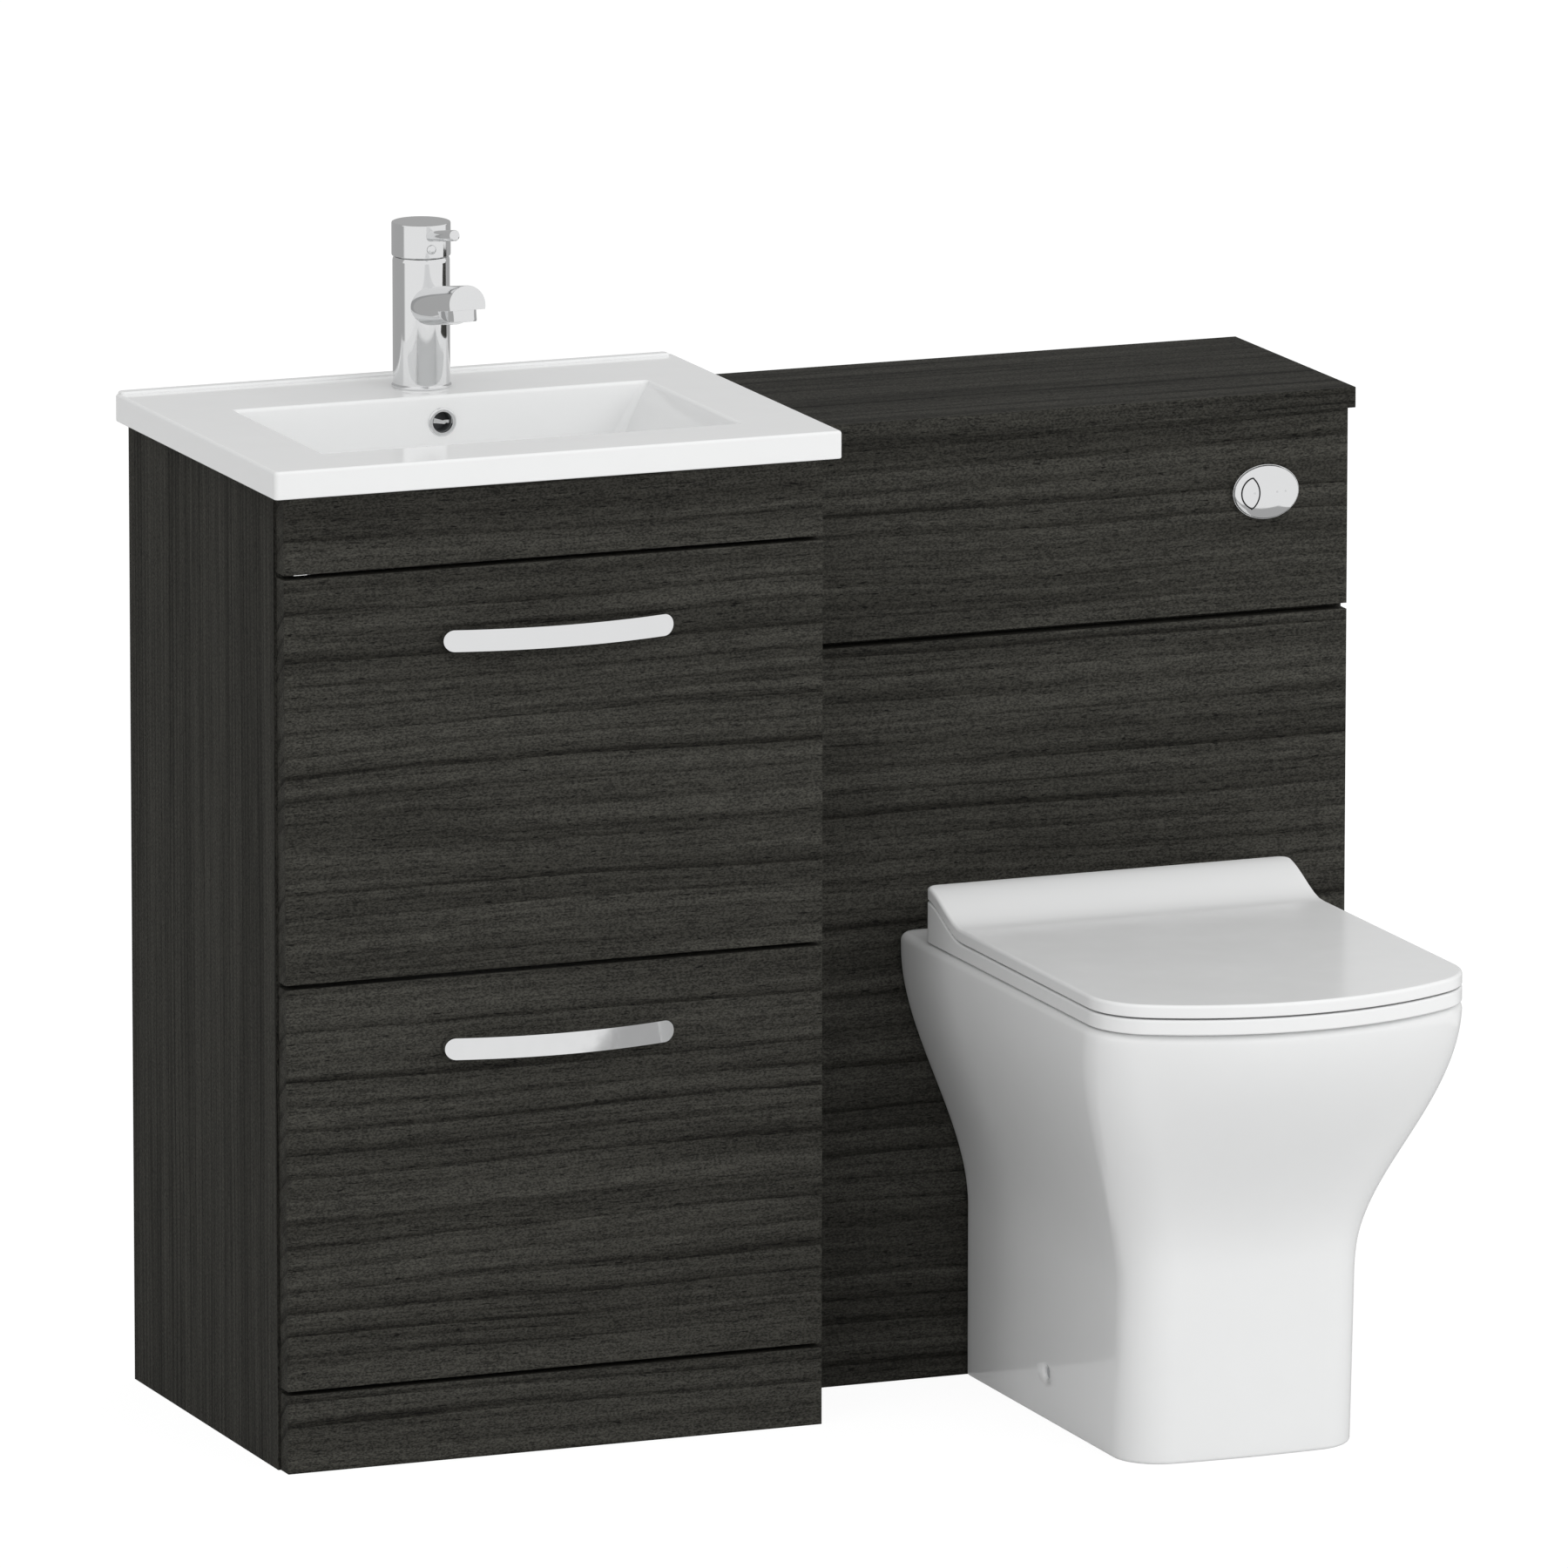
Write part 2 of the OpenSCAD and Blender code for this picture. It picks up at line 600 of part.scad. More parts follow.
// Bowed strap handle: an arched strip with round ends, on two feet
bow_fn = 360;         // facets of the circle that the strap follows
module handle(z) {
    half = handle_len / 2;
    radius = (half * half + handle_bow * handle_bow) / (2 * handle_bow);
    end_y = front_y - handle_foot - handle_t;
    centre_y = end_y - handle_bow + radius;
    color(chrome) difference() {
        union() {
            intersection() {
                translate([handle_x, centre_y, z - handle_h / 2]) linear_extrude(handle_h) difference() {
                    circle(radius, $fn = bow_fn);
                    circle(radius - handle_t, $fn = bow_fn);
                }
                union() {
                    translate([handle_x - half + handle_h / 2, front_y - 60, z - handle_h / 2])
                        cube([handle_len - handle_h, 60, handle_h]);
                    for (s = [-1, 1])
                        bar_y([handle_x + s * (half - handle_h / 2), front_y, z], handle_h / 2, 60);
                }
            }
            for (s = [-1, 1]) intersection() {
                bar_y([handle_x + s * handle_centres / 2, front_y, z], handle_h / 2 - 2.5, 30);
                // inside of the strap's circle, up to the drawer front
                translate([handle_x, centre_y, z - handle_h / 2]) difference() {
                    translate([-half, -2 * radius, 0])
                        cube([handle_len, 2 * radius + front_y - centre_y, handle_h]);
                    difference() {
                        translate([-half, -2 * radius, 0]) cube([handle_len, 2 * radius, handle_h]);
                        cylinder(r = radius - 1, h = handle_h, $fn = bow_fn);
                    }
                }
            }
        }
        handle_screw_holes(z);
    }
}
module handle_screw_holes(z) {
    for (s = [-1, 1])
        bar_y([handle_x + s * handle_centres / 2, front_y + cut, z], handle_screw_r, 6 + cut);
}
module handle_screws(z) {
    color(steel) for (s = [-1, 1]) {
        bar_y([handle_x + s * handle_centres / 2, front_y + board, z], handle_screw_r, board + 5);
        bar_y([handle_x + s * handle_centres / 2, front_y + board + 2, z], 4, 2);
    }
}
// Three nested channels of a full-extension runner, on the left; the right one is mirrored
module channel(x0, x1, h, web_left, z) {
    t = runner_t;
    panel([web_left ? x0 : x1 - t, box_y1 + 1, z - h / 2], [web_left ? x0 + t : x1, box_y0, z + h / 2]);
    for (s = [-1, 1]) translate([0, 0, z + s * (h / 2 - t / 2)])
        panel([x0, box_y1 + 1, -t / 2], [x1, box_y0, t / 2]);
}
module both_sides() {
    children();
    translate([vanity_w, 0, 0]) mirror([1, 0, 0]) children();
}
runner_step = runner_t + slide_fit;   // each member nests this far inside the one before it
module runner_outer(z) { color(steel) both_sides() channel(board, board + 9, runner_h, true, z); }
module runner_mid(z) {
    color(steel) both_sides()
        channel(board + runner_step, board + 10.5, runner_h - 2 * runner_t - 2, true, z);
}
module runner_inner(z) {
    color(steel) both_sides()
        channel(board + 2 * runner_step, board + runner_gap, runner_h - 4 * runner_t - 5, false, z);
}
upper_runner_z = upper_box_z + 55;
lower_runner_z = lower_box_z + 80;
upper_handle_z = upper_front_z + drawer_front_h - handle_drop;
lower_handle_z = lower_front_z + drawer_front_h - handle_drop;

module upper_drawer_front() { drawer_front(upper_front_z); }
module lower_drawer_front() { drawer_front(lower_front_z); }
module upper_drawer_box() { box_frame(upper_box_z, upper_box_h, true); }
module lower_drawer_box() { box_frame(lower_box_z, lower_box_h, false); }
module upper_drawer_base() { box_base(upper_box_z, true); }
module lower_drawer_base() { box_base(lower_box_z, false); }
module upper_handle() { handle(upper_handle_z); }
module lower_handle() { handle(lower_handle_z); }
module upper_handle_screws() { handle_screws(upper_handle_z); }
module lower_handle_screws() { handle_screws(lower_handle_z); }
module upper_runner_outers() { runner_outer(upper_runner_z); }
module lower_runner_outers() { runner_outer(lower_runner_z); }
module upper_runner_mids() { runner_mid(upper_runner_z); }
module lower_runner_mids() { runner_mid(lower_runner_z); }
module upper_runner_inners() { runner_inner(upper_runner_z); }
module lower_runner_inners() { runner_inner(lower_runner_z); }

// ---------------------------------------------------------------- toilet unit
wc_rail_h = 70;
soil_r = 55;
module wc_side(x) { color(carcass_wood) panel([x, -wc_d, 0], [x + board, 0, wc_h]); }
module wc_side_left() { wc_side(wc_x); }
module wc_side_right() { wc_side(wc_x + wc_w - board); }
// Two rails on the wall and one behind the joint of the fascias
module wc_rails() {
    x0 = wc_x + board;
    x1 = wc_x + wc_w - board;
    color(carcass_wood) {
        difference() {
            panel([x0, -rail_d, wc_h - wc_rail_h / 2], [x1, 0, wc_h]);
            for (s = [-1, 1])
                bar_y([wc_x + wc_w / 2 + s * wall_screw_spacing / 2, cut, wc_h - wc_rail_h / 4],
                    wall_screw_r, rail_d + 2 * cut);
        }
        panel([x0, -rail_d, 0], [x1, 0, wc_rail_h]);
        panel([x0, -wc_d, lower_fascia_h - wc_rail_h / 2],
            [x1, -wc_d + board, lower_fascia_h + fascia_gap + wc_rail_h / 2]);
    }
}
module fascia_panel(z, h) {
    panel([wc_x + front_reveal, fascia_y, z], [wc_x + wc_w - front_reveal, fascia_y + board, z + h]);
}
module wc_lower_fascia() {
    color(wood) difference() {
        fascia_panel(0, lower_fascia_h);
        bar_y([pan_x, fascia_y + board + cut, outlet_z], soil_r + 5, board + 2 * cut);
        bar_y([pan_x, fascia_y + board + cut, inlet_z], flush_pipe_r + 4, board + 2 * cut);
    }
}
flush_hole_r = 18;
module wc_upper_fascia() {
    z = lower_fascia_h + fascia_gap;
    color(wood) difference() {
        fascia_panel(z, wc_h - z);
        bar_y([wc_x + flush_x, fascia_y + board + cut, flush_z], flush_hole_r, board + 2 * cut);
    }
}
module wc_worktop() {
    color(wood) panel([vanity_w + basin_over_right + 0.5, fascia_y - worktop_over, wc_h],
        [wc_x + wc_w, 0, wc_h + worktop_t]);
}

// ---------------------------------------------------------------- flush plate
flush_proud = 2;
collar_floor = 0.6;   // plate left under the buttons
lens_r = 20;          // radius of both arcs of the small button
lens_h = 27;
lens_x = -13.5;
// Oval that scales with the plate, as a round ring stretched once
module oval(w, h, len) {
    linear_extrude(len) polygon([for (a = [0 : 6 : 354]) [w / 2 * cos(a), h / 2 * sin(a)]]);
}
module at_flush() { translate([wc_x + flush_x, fascia_y, flush_z]) rotate([90, 0, 0]) children(); }
module lens(grow, len) {
    reach = sqrt(pow(lens_r, 2) - pow(lens_h / 2, 2));
    translate([lens_x, 0, 0]) linear_extrude(len) intersection() {
        translate([reach, 0]) circle(lens_r + grow);
        translate([-reach, 0]) circle(lens_r + grow);
    }
}
// Fixed collar: rim on the fascia, barrel through it and backnut behind
module flush_collar() {
    color(chrome) at_flush() {
        difference() {
            union() {
                oval(flush_w, flush_h, flush_proud);
                translate([0, 0, -board - 14]) cylinder(r = flush_hole_r - 0.5, h = board + 14 + cut / 2);
            }
            translate([0, 0, collar_floor]) oval(flush_w - 2.4, flush_h - 2.4, flush_proud);
            translate([0, 0, -flush_travel - 4]) cylinder(r = flush_hole_r - 2.5, h = 20);
        }
        translate([0, 0, -board - 8]) difference() {
            cylinder(r = flush_hole_r + 8, h = 8, $fn = 6);
            translate([0, 0, -cut]) cylinder(r = flush_hole_r, h = 8 + 2 * cut);
        }
    }
}
// Main oval button: a shallow dome on a guide stem, cut out for the small button
dome_base = collar_floor + flush_travel + slide_fit;   // underside of the buttons, not pressed
dome_edge = 1;        // straight side of the buttons
dome_rise = 4;
stem_h = dome_base + dome_edge / 2;
dome_n = 48;
dome_in = 1.8;        // the dome's edge inside the collar's outline
function dome_ring(t, z) = [for (i = [0 : dome_n - 1]) let (a = 360 * (i + 0.5) / dome_n + 90)
    [(flush_w / 2 - dome_in) * t * cos(a), (flush_h / 2 - dome_in) * t * sin(a), z]];
module button_dome() {
    z = dome_base + dome_edge;
    skin(concat([dome_ring(1, dome_base)],
        [for (a = [0 : 15 : 75]) dome_ring(cos(a), z + dome_rise * sin(a))]));
}
module flush_full_button() {
    color(chrome) at_flush() union() {
        difference() {
            button_dome();
            translate([0, 0, -20]) lens(0.5, 60);
        }
        translate([6, 0, 0]) cylinder(r = 7, h = stem_h);
    }
}
module flush_half_button() {
    color(chrome) at_flush() {
        intersection() {
            button_dome();
            translate([0, 0, -20]) lens(0, 60);
        }
        translate([-11.5, 0, 0]) cylinder(r = 2.6, h = stem_h);
    }
}

// ---------------------------------------------------------------- cistern
tank_x = pan_x;
tank_y = -12;
tank_top = min(tank_z + tank_h, wc_h - wc_rail_h / 2 - 5);
tank_room = tank_top - tank_z;
valve_x = tank_w / 2 - 50;
valve_y = tank_y - tank_d / 2;
tail_r = 10.3;        // thread that takes the supply's nut
tail_len = 32;
shank_r = 11.5;       // thicker shank in the tank and its backnut
backnut_h = 8;
column_r = 8;
valve_head_z = tank_top - 60;
float_r = 27;
float_h = 45;
float_z = valve_head_z - float_h - float_travel - 16.5;
outlet_hole_r = 30;
module tank_block(inset, z0, z1) {
    translate([tank_x - tank_w / 2 + inset, tank_y - tank_d + inset, z0]) linear_extrude(z1 - z0)
        rounded_rect(tank_w - 2 * inset, tank_d - 2 * inset, 14 - inset);
}
module cistern_tank() {
    color(plastic) difference() {
        tank_block(0, tank_z, tank_top);
        tank_block(tank_wall, tank_z + tank_wall, tank_top + cut);
        translate([tank_x, valve_y, tank_z - cut]) cylinder(r = outlet_hole_r, h = tank_wall + 2 * cut);
        translate([tank_x + valve_x, valve_y, tank_z - cut])
            cylinder(r = shank_r + 0.3, h = tank_wall + 2 * cut);
    }
}
module cistern_lid() {
    color(plastic) {
        tank_block(-2, tank_top, tank_top + 3);
        difference() {
            tank_block(tank_wall + 0.5, tank_top - 8, tank_top);
            tank_block(tank_wall + 2.5, tank_top - 8 - cut, tank_top + cut);
        }
    }
}
// Bottom-entry fill valve: threaded tail, shank and backnut, column and head
module fill_valve() {
    color(white) translate([tank_x + valve_x, valve_y, tank_z]) {
        translate([0, 0, -backnut_h - tail_len]) difference() {
            union() {
                cylinder(r = tail_r, h = tail_len);
                translate([0, 0, tail_len]) cylinder(r = shank_r, h = backnut_h + tank_wall);
            }
            translate([0, 0, -cut]) cylinder(r = 6.5, h = 30);
        }
        translate([0, 0, tank_wall]) cylinder(r = shank_r + 5, h = 6);
        translate([0, 0, -backnut_h]) difference() {
            cylinder(r = 18, h = backnut_h, $fn = 6);
            translate([0, 0, -cut]) cylinder(r = shank_r + 0.2, h = backnut_h + 2 * cut);
        }
        cylinder(r = column_r, h = tank_room - 40);
        translate([0, 0, valve_head_z - tank_z]) cylinder(r = 17, h = 32);
    }
}
// Float cup that slides on the valve's column
module fill_float() {
    color(dark_plastic) translate([tank_x + valve_x, valve_y, float_z]) difference() {
        cylinder(r = float_r, h = float_h);
        translate([0, 0, -cut]) cylinder(r = column_r + slide_fit, h = float_h + 2 * cut);
        translate([0, 0, -cut]) difference() {
            cylinder(r = float_r - 2, h = float_h - 5);
            cylinder(r = column_r + 3, h = float_h);
        }
    }
}
// Flush valve: seat with its backnut, cage and overflow tower
valve_seat_r = 29;
module flush_valve() {
    color(white) translate([tank_x, valve_y, tank_z]) {
        difference() {
            union() {
                translate([0, 0, -30]) cylinder(r = valve_seat_r, h = 30 + tank_wall);
                translate([0, 0, tank_wall]) cylinder(r = valve_seat_r + 9, h = 5);
            }
            translate([0, 0, -30 - cut]) cylinder(r = flush_pipe_r + 0.3, h = 60);
        }
        translate([0, 0, -12]) difference() {
            cylinder(r = valve_seat_r + 10, h = 12, $fn = 6);
            translate([0, 0, -cut]) cylinder(r = valve_seat_r + 0.2, h = 12 + 2 * cut);
        }
        // cage of four posts under a head that holds the air actuator
        for (a = [45 : 90 : 315]) rotate(a)
            translate([valve_seat_r + 3, 0, tank_wall + 5]) cylinder(r = 3, h = 150);
        translate([0, 0, tank_wall + 155]) difference() {
            cylinder(r = valve_seat_r + 8, h = 40);
            translate([0, 0, -cut]) cylinder(r = bell_tube_r + slide_fit, h = 42);
        }
    }
}
bell_tube_r = 11;
bell_tube_h = 215;
// Sealing bell with its overflow tube, lifted to flush
module flush_bell() {
    color(dark_plastic) translate([tank_x, valve_y, tank_z + tank_wall + 5 + slide_fit]) difference() {
        union() {
            cylinder(r = valve_seat_r - 2, h = 6);
            cylinder(r = bell_tube_r, h = bell_tube_h);
        }
        translate([0, 0, -cut]) cylinder(r = bell_tube_r - 2, h = bell_tube_h + 2 * cut);
    }
}
pipe_bend_r = 70;
pipe_wall = 2.5;
pipe_in_pan = 22;
module pipe_bend(r) {
    translate([0, valve_y - pipe_bend_r, inlet_z + pipe_bend_r]) rotate([90, 0, 90])
        rotate_extrude(angle = -90) translate([pipe_bend_r, 0]) circle(r);
}
// Flush pipe: down from the cistern, then forward into the pan
module flush_pipe() {
    bend_z = inlet_z + pipe_bend_r;
    bend_y = valve_y - pipe_bend_r;
    run = bend_y - fascia_y + pipe_in_pan;
    top_z = tank_z - 14;
    color(plastic) translate([tank_x, 0, 0]) difference() {
        union() {
            translate([0, valve_y, bend_z]) cylinder(r = flush_pipe_r, h = top_z - bend_z);
            pipe_bend(flush_pipe_r);
            bar_y([0, bend_y, inlet_z], flush_pipe_r, run);
        }
        translate([0, valve_y, bend_z]) cylinder(r = flush_pipe_r - pipe_wall, h = top_z);
        pipe_bend(flush_pipe_r - pipe_wall);
        bar_y([0, bend_y, inlet_z], flush_pipe_r - pipe_wall, run + cut);
    }
}
// Straight pan connector from the pan's spigot to the wall
module soil_connector() {
    color(plastic) difference() {
        union() {
            bar_y([pan_x, 0, outlet_z], soil_r, 70);
            bar_y([pan_x, 0, outlet_z], soil_r - 1, -fascia_y + 24);
        }
        bar_y([pan_x, cut, outlet_z], soil_r - 3.4, -fascia_y + 60);
    }
}

// ---------------------------------------------------------------- pan
pan_shoulder_z = pan_rim_h - 11;
pan_half = pan_rim_w / 2;
foot_half = pan_base_w / 2;
rim_front = fascia_y - pan_rim_reach;
foot_front = fascia_y - pan_base_reach;
front_waist = 20;     // the front flares a little higher than the sides
straight_share = 0.15;
function flare(z) = smooth((z - pan_waist_z) / (pan_shoulder_z - pan_waist_z));
function pan_width(z) = lerp(foot_half, pan_half, flare(z));
function front_flare(z) =
    smooth((z - pan_waist_z - front_waist) / (pan_rim_h - pan_waist_z - front_waist));
function pan_front(z) = lerp(foot_front, rim_front,
    straight_share * z / pan_rim_h + (1 - straight_share) * front_flare(z));
function pan_ring(z, inset, back) =
    plan(pan_width(z) - inset, back, pan_front(z) + inset, max(lerp(42, 60, flare(z)) - inset, 14),
        1 / lerp(1 / 900, 1 / 280, flare(z)), 8);
edge_r = 7;
rim_solid = 26;       // depth of the solid ceramic under the rim
pan_levels = [4, 60, 120, 150, 175, 200, 225, 250, 275, 300, 325, 350, pan_rim_h - rim_solid];
hollow_levels = [-cut, 60, 150, 200, 250, 300, pan_rim_h - rim_solid];
bowl_top_back = fascia_y - 104;
bowl_top_front = rim_front + 66;
bowl_top_z = pan_rim_h - 46;
sump_z = 110;
sump_reach = 225;     // from the fascia to the middle of the sump
sump_y = fascia_y - sump_reach;
sump_half = 44;
// Pan bowl at a share of its depth, grown by g
function pan_bowl_ring(t, g, z) =
    let (e = smooth(t), w = lerp(pan_bowl_half, sump_half, e) + g,
         back = lerp(bowl_top_back, sump_y + sump_half, e) + g,
         front = lerp(bowl_top_front, sump_y - sump_half, e) - g)
    at_z(plan(w, back, front, w * 0.8, lerp(w * 1.3, w + 4, e), w * lerp(0.35, 0.9, e), 2), z);
bowl_steps = 8;
function bowl_z(t) = lerp(bowl_top_z, sump_z, t);
// Water trap: along the sump's floor, up to the weir and down to the outlet
trap_bore = 30;
trap_wall = 9;
trap_bend = 44;
weir_z = sump_z + 136;
dip = sump_z + trap_bore + 2;
trap_start = sump_y + 6;
weir_y = trap_start + 2 * trap_bend;
fall = acos((outlet_z - weir_z + 2 * trap_bend) / (2 * trap_bend));
trap_end = weir_y + 2 * trap_bend * sin(fall);
trap_route = concat([[trap_start - 12, dip]],
    arc([trap_start, dip + trap_bend], trap_bend, -90, 0, 5),
    arc([weir_y, weir_z - trap_bend], trap_bend, 180, 90 - fall, 9),
    arc([trap_end, outlet_z + trap_bend], trap_bend, 270 - fall, 270, 4),
    [[fascia_y - 26, outlet_z]]);
hole_y = fascia_y - 180;
hole_z = 41.5;
bracket_w = 40;

// Freeform ceramic without its round bores, kept as one mesh
boss_fn = 32;
boss_wall = 14;
function bowl_shell(g) = [for (i = [bowl_steps : -1 : 0])
    pan_bowl_ring(i / bowl_steps, g, bowl_z(i / bowl_steps))];
module pan_shell() {
    difference() {
        skin(concat([at_z(pan_ring(0, 3, fascia_y), 0)],
            [for (z = pan_levels) at_z(pan_ring(z, 0, fascia_y), z)],
            [for (a = [0 : 22.5 : 90]) at_z(pan_ring(pan_rim_h - edge_r, edge_r * (1 - cos(a)), fascia_y),
                pan_rim_h - edge_r * (1 - sin(a)))]));
        // the foot and the flanks are hollow, and open at the back and underneath
        skin([for (z = hollow_levels) at_z(pan_ring(max(z, 0), pan_wall, fascia_y + 20), z)]);
    }
}
module pan_ceramic() {
    resize([0, 0, 0]) difference() {
        union() {
            pan_shell();
            skin(concat([pan_bowl_ring(1, pan_wall, sump_z - pan_wall)], bowl_shell(pan_wall),
                [pan_bowl_ring(0, pan_wall, pan_rim_h - 20)]));
            bend_bar(trap_route, trap_bore + trap_wall);
            bar_y([0, fascia_y - 6, outlet_z], outlet_r, 50, $fn = boss_fn);
            bar_y([0, fascia_y, inlet_z], flush_pipe_r + boss_wall, 100, $fn = boss_fn);
            // bridges that carry the spigots between the flanks
            for (z = [outlet_z, inlet_z])
                translate([4 - pan_width(z), fascia_y - 60, z - 8]) cube([2 * pan_width(z) - 8, 12, 16]);
        }
        skin(concat(bowl_shell(0),
            [pan_bowl_ring(0, 0, pan_rim_h - 5), pan_bowl_ring(0, 1.5, pan_rim_h - 1.5),
                pan_bowl_ring(0, 5, pan_rim_h), pan_bowl_ring(0, 5, pan_rim_h + cut)]));
        bend_bar(trap_route, trap_bore);
    }
}
module pan() {
    color(white) translate([pan_x, 0, 0]) difference() {
        pan_ceramic();
        bar_y([0, fascia_y, outlet_z], outlet_r - 8, 34);
        bar_y([0, fascia_y + cut, inlet_z], flush_pipe_r + 0.5, 24);
        bar_y([0, fascia_y + cut, inlet_z], flush_pipe_r - 4, 130);
        for (s = [-1, 1]) {
            bar_x([s * (foot_half - pan_wall / 2 - 2) - 12, hole_y, hole_z], side_hole_r, 24);
            translate([s * (foot_half - 1.5), hole_y, hole_z]) rotate([0, 90 * s, 0])
                cylinder(r1 = side_hole_r, r2 = side_hole_r + 5, h = 3);
            translate([s * hinge_centres / 2, hinge_y, pan_rim_h - 30]) cylinder(r = 8, h = 32);
        }
    }
}
// Floor brackets inside the foot, with the side screws that hold the pan to them
module pan_fixings() {
    inner = foot_half - pan_wall - 1;
    color(steel) for (s = [-1, 1]) translate([pan_x, hole_y, 0]) mirror([s < 0 ? 1 : 0, 0, 0]) {
        difference() {
            union() {
                translate([inner - 3, -bracket_w / 2, 0]) cube([3, bracket_w, 60]);
                translate([inner - 45, -bracket_w / 2, 0]) cube([44, bracket_w, 3]);
            }
            translate([inner - 28, 0, -cut]) cylinder(r = 4, h = 3 + 2 * cut);
            bar_x([inner - 4, 0, hole_z], 3, 6);
        }
        bar_x([inner - 14, 0, hole_z], 3, foot_half - inner + 8);
        bar_x([foot_half - 6, 0, hole_z], side_hole_r - 0.4, 2.5);
    }
}

// ---------------------------------------------------------------- seat and lid
seat_z = pan_rim_h + seat_gap;
lid_z = seat_z + seat_t + seat_gap;
lid_top_z = lid_z + lid_t;
seat_half = seat_w / 2;
tail_y = fascia_y - 54;
tail_start = 80;      // length over which the tail rises
seat_corner = 52;
seat_bow = 280;
hinge_y = tail_y - 8;
hinge_z = pan_rim_h + 24;
notch_in = 32;
notch_out = 14;
lug_out = -14;
lug_in = -30;
lug_r = 8;
function tail(y) = lid_rise * smooth((y - (tail_y - tail_start)) / (tail_start - 1));
function seat_outline(inset, back) =
    plan(seat_half - inset, back, seat_front_y + inset, seat_corner - inset, seat_bow - inset, 8, 11);
function seat_plan(inset) = seat_outline(inset, tail_y - inset);
// Outline lifted to the tail's curve, dz above a base height
function follow(ring, z) = [for (p = ring) [p[0], p[1], z + tail(p[1])]];
round_steps = [0, 30, 60, 90];
seat_round = 2;
lid_round = 3;
seat_opening_half = 104;
seat_opening_back = hinge_y - 62;
seat_opening_front = seat_front_y + 66;

module hinge_notches(grow) {
    for (s = [-1, 1]) translate([s * hinge_centres / 2, 0, 0]) mirror([s < 0 ? 1 : 0, 0, 0])
        panel([-notch_in - grow, hinge_y - 20, seat_z - cut],
            [notch_out + grow, tail_y + cut, lid_top_z + lid_rise]);
}
// Room above and behind the hinge pins that the lid's underside needs as it turns
sweep_r = lid_z + tail(hinge_y) - hinge_z - 2 * slide_fit;
module lid_sweep() {
    difference() {
        panel([-seat_half, hinge_y, hinge_z], [seat_half, tail_y + cut, lid_top_z + lid_rise]);
        bar_x([-seat_half - cut, hinge_y, hinge_z], sweep_r, seat_w + 2 * cut);
    }
}
// Growth and height of the rings that shape the seat's opening
opening_steps = [[6, -cut], [3, 2], [0, seat_t / 2], [3, seat_t - 2], [8, seat_t + 0.1],
    [8, seat_t + lid_rise + 5]];
module seat() {
    color(white) translate([pan_x, 0, 0]) difference() {
        skin(concat([at_z(seat_plan(1.5), seat_z)],
            [at_z(seat_plan(0), seat_z + 1.5)],
            [for (a = round_steps)
                follow(seat_plan(seat_round * (1 - cos(a))), lid_z - seat_gap - seat_round * (1 - sin(a)))]));
        skin([for (p = opening_steps) at_z(plan(seat_opening_half + p[0], seat_opening_back + p[0],
            seat_opening_front - p[0], 80, 120, 60, 2), seat_z + p[1])]);
        hinge_notches(0);
        lid_sweep();
        for (s = [-1, 1])
            translate([s * (hinge_centres / 2 + notch_out - cut), hinge_y, hinge_z]) rotate([0, 90 * s, 0])
                cylinder(r = hinge_pin_r + pin_fit, h = 16 + cut);
    }
}
module lid() {
    color(white) translate([pan_x, 0, 0]) difference() {
        union() {
            difference() {
                skin(concat([follow(seat_plan(1), lid_z)], [follow(seat_plan(0), lid_z + 1)],
                    [for (a = round_steps)
                        follow(seat_plan(lid_round * (1 - cos(a))), lid_top_z - lid_round * (1 - sin(a)))]));
                // shallow hollow under the lid
                skin([at_z(seat_outline(10, tail_y - 42), lid_z - cut),
                    follow(seat_outline(12, tail_y - 42), lid_top_z - 6)]);
            }
            for (s = [-1, 1]) translate([s * hinge_centres / 2, 0, 0]) mirror([s < 0 ? 1 : 0, 0, 0]) {
                bar_x([lug_in, hinge_y, hinge_z], lug_r, lug_out - lug_in);
                panel([lug_in, hinge_y - lug_r, hinge_z],
                    [lug_out, hinge_y + lug_r, lid_z + tail(hinge_y - lug_r) + 2]);
            }
        }
        for (s = [-1, 1])
            translate([s * (hinge_centres / 2 + lug_out + cut), hinge_y, hinge_z]) rotate([0, -90 * s, 0])
                cylinder(r = hinge_pin_r + pin_fit, h = 14 + cut);
    }
}
// Hinge posts bolted through the pan, with their cross pins
module seat_hinges() {
    post_r = 11;
    color(chrome) translate([pan_x, hinge_y, 0]) for (s = [-1, 1])
        translate([s * hinge_centres / 2, 0, 0]) mirror([s < 0 ? 1 : 0, 0, 0]) {
            translate([0, 0, pan_rim_h]) cylinder(r = post_r, h = hinge_z - pan_rim_h + 8);
            translate([0, 0, pan_rim_h - 28]) cylinder(r = 4, h = 28 + cut);
            bar_x([lug_out - 12, 0, hinge_z], hinge_pin_r, notch_out - lug_out + 26);
        }
}
buffer_h = seat_gap - slide_fit;
module four_buffers(inset, z, r) {
    translate([pan_x, 0, 0]) for (s = [-1, 1]) for (y = [seat_opening_back - 60, seat_opening_front + 70])
        translate([s * (seat_half - inset), y, z - buffer_h]) cylinder(r = r, h = buffer_h);
}
module seat_buffers() { color(dark_plastic) four_buffers(26, seat_z, 10); }
module lid_buffers() { color(white) four_buffers(5.5, lid_z, 3.5); }

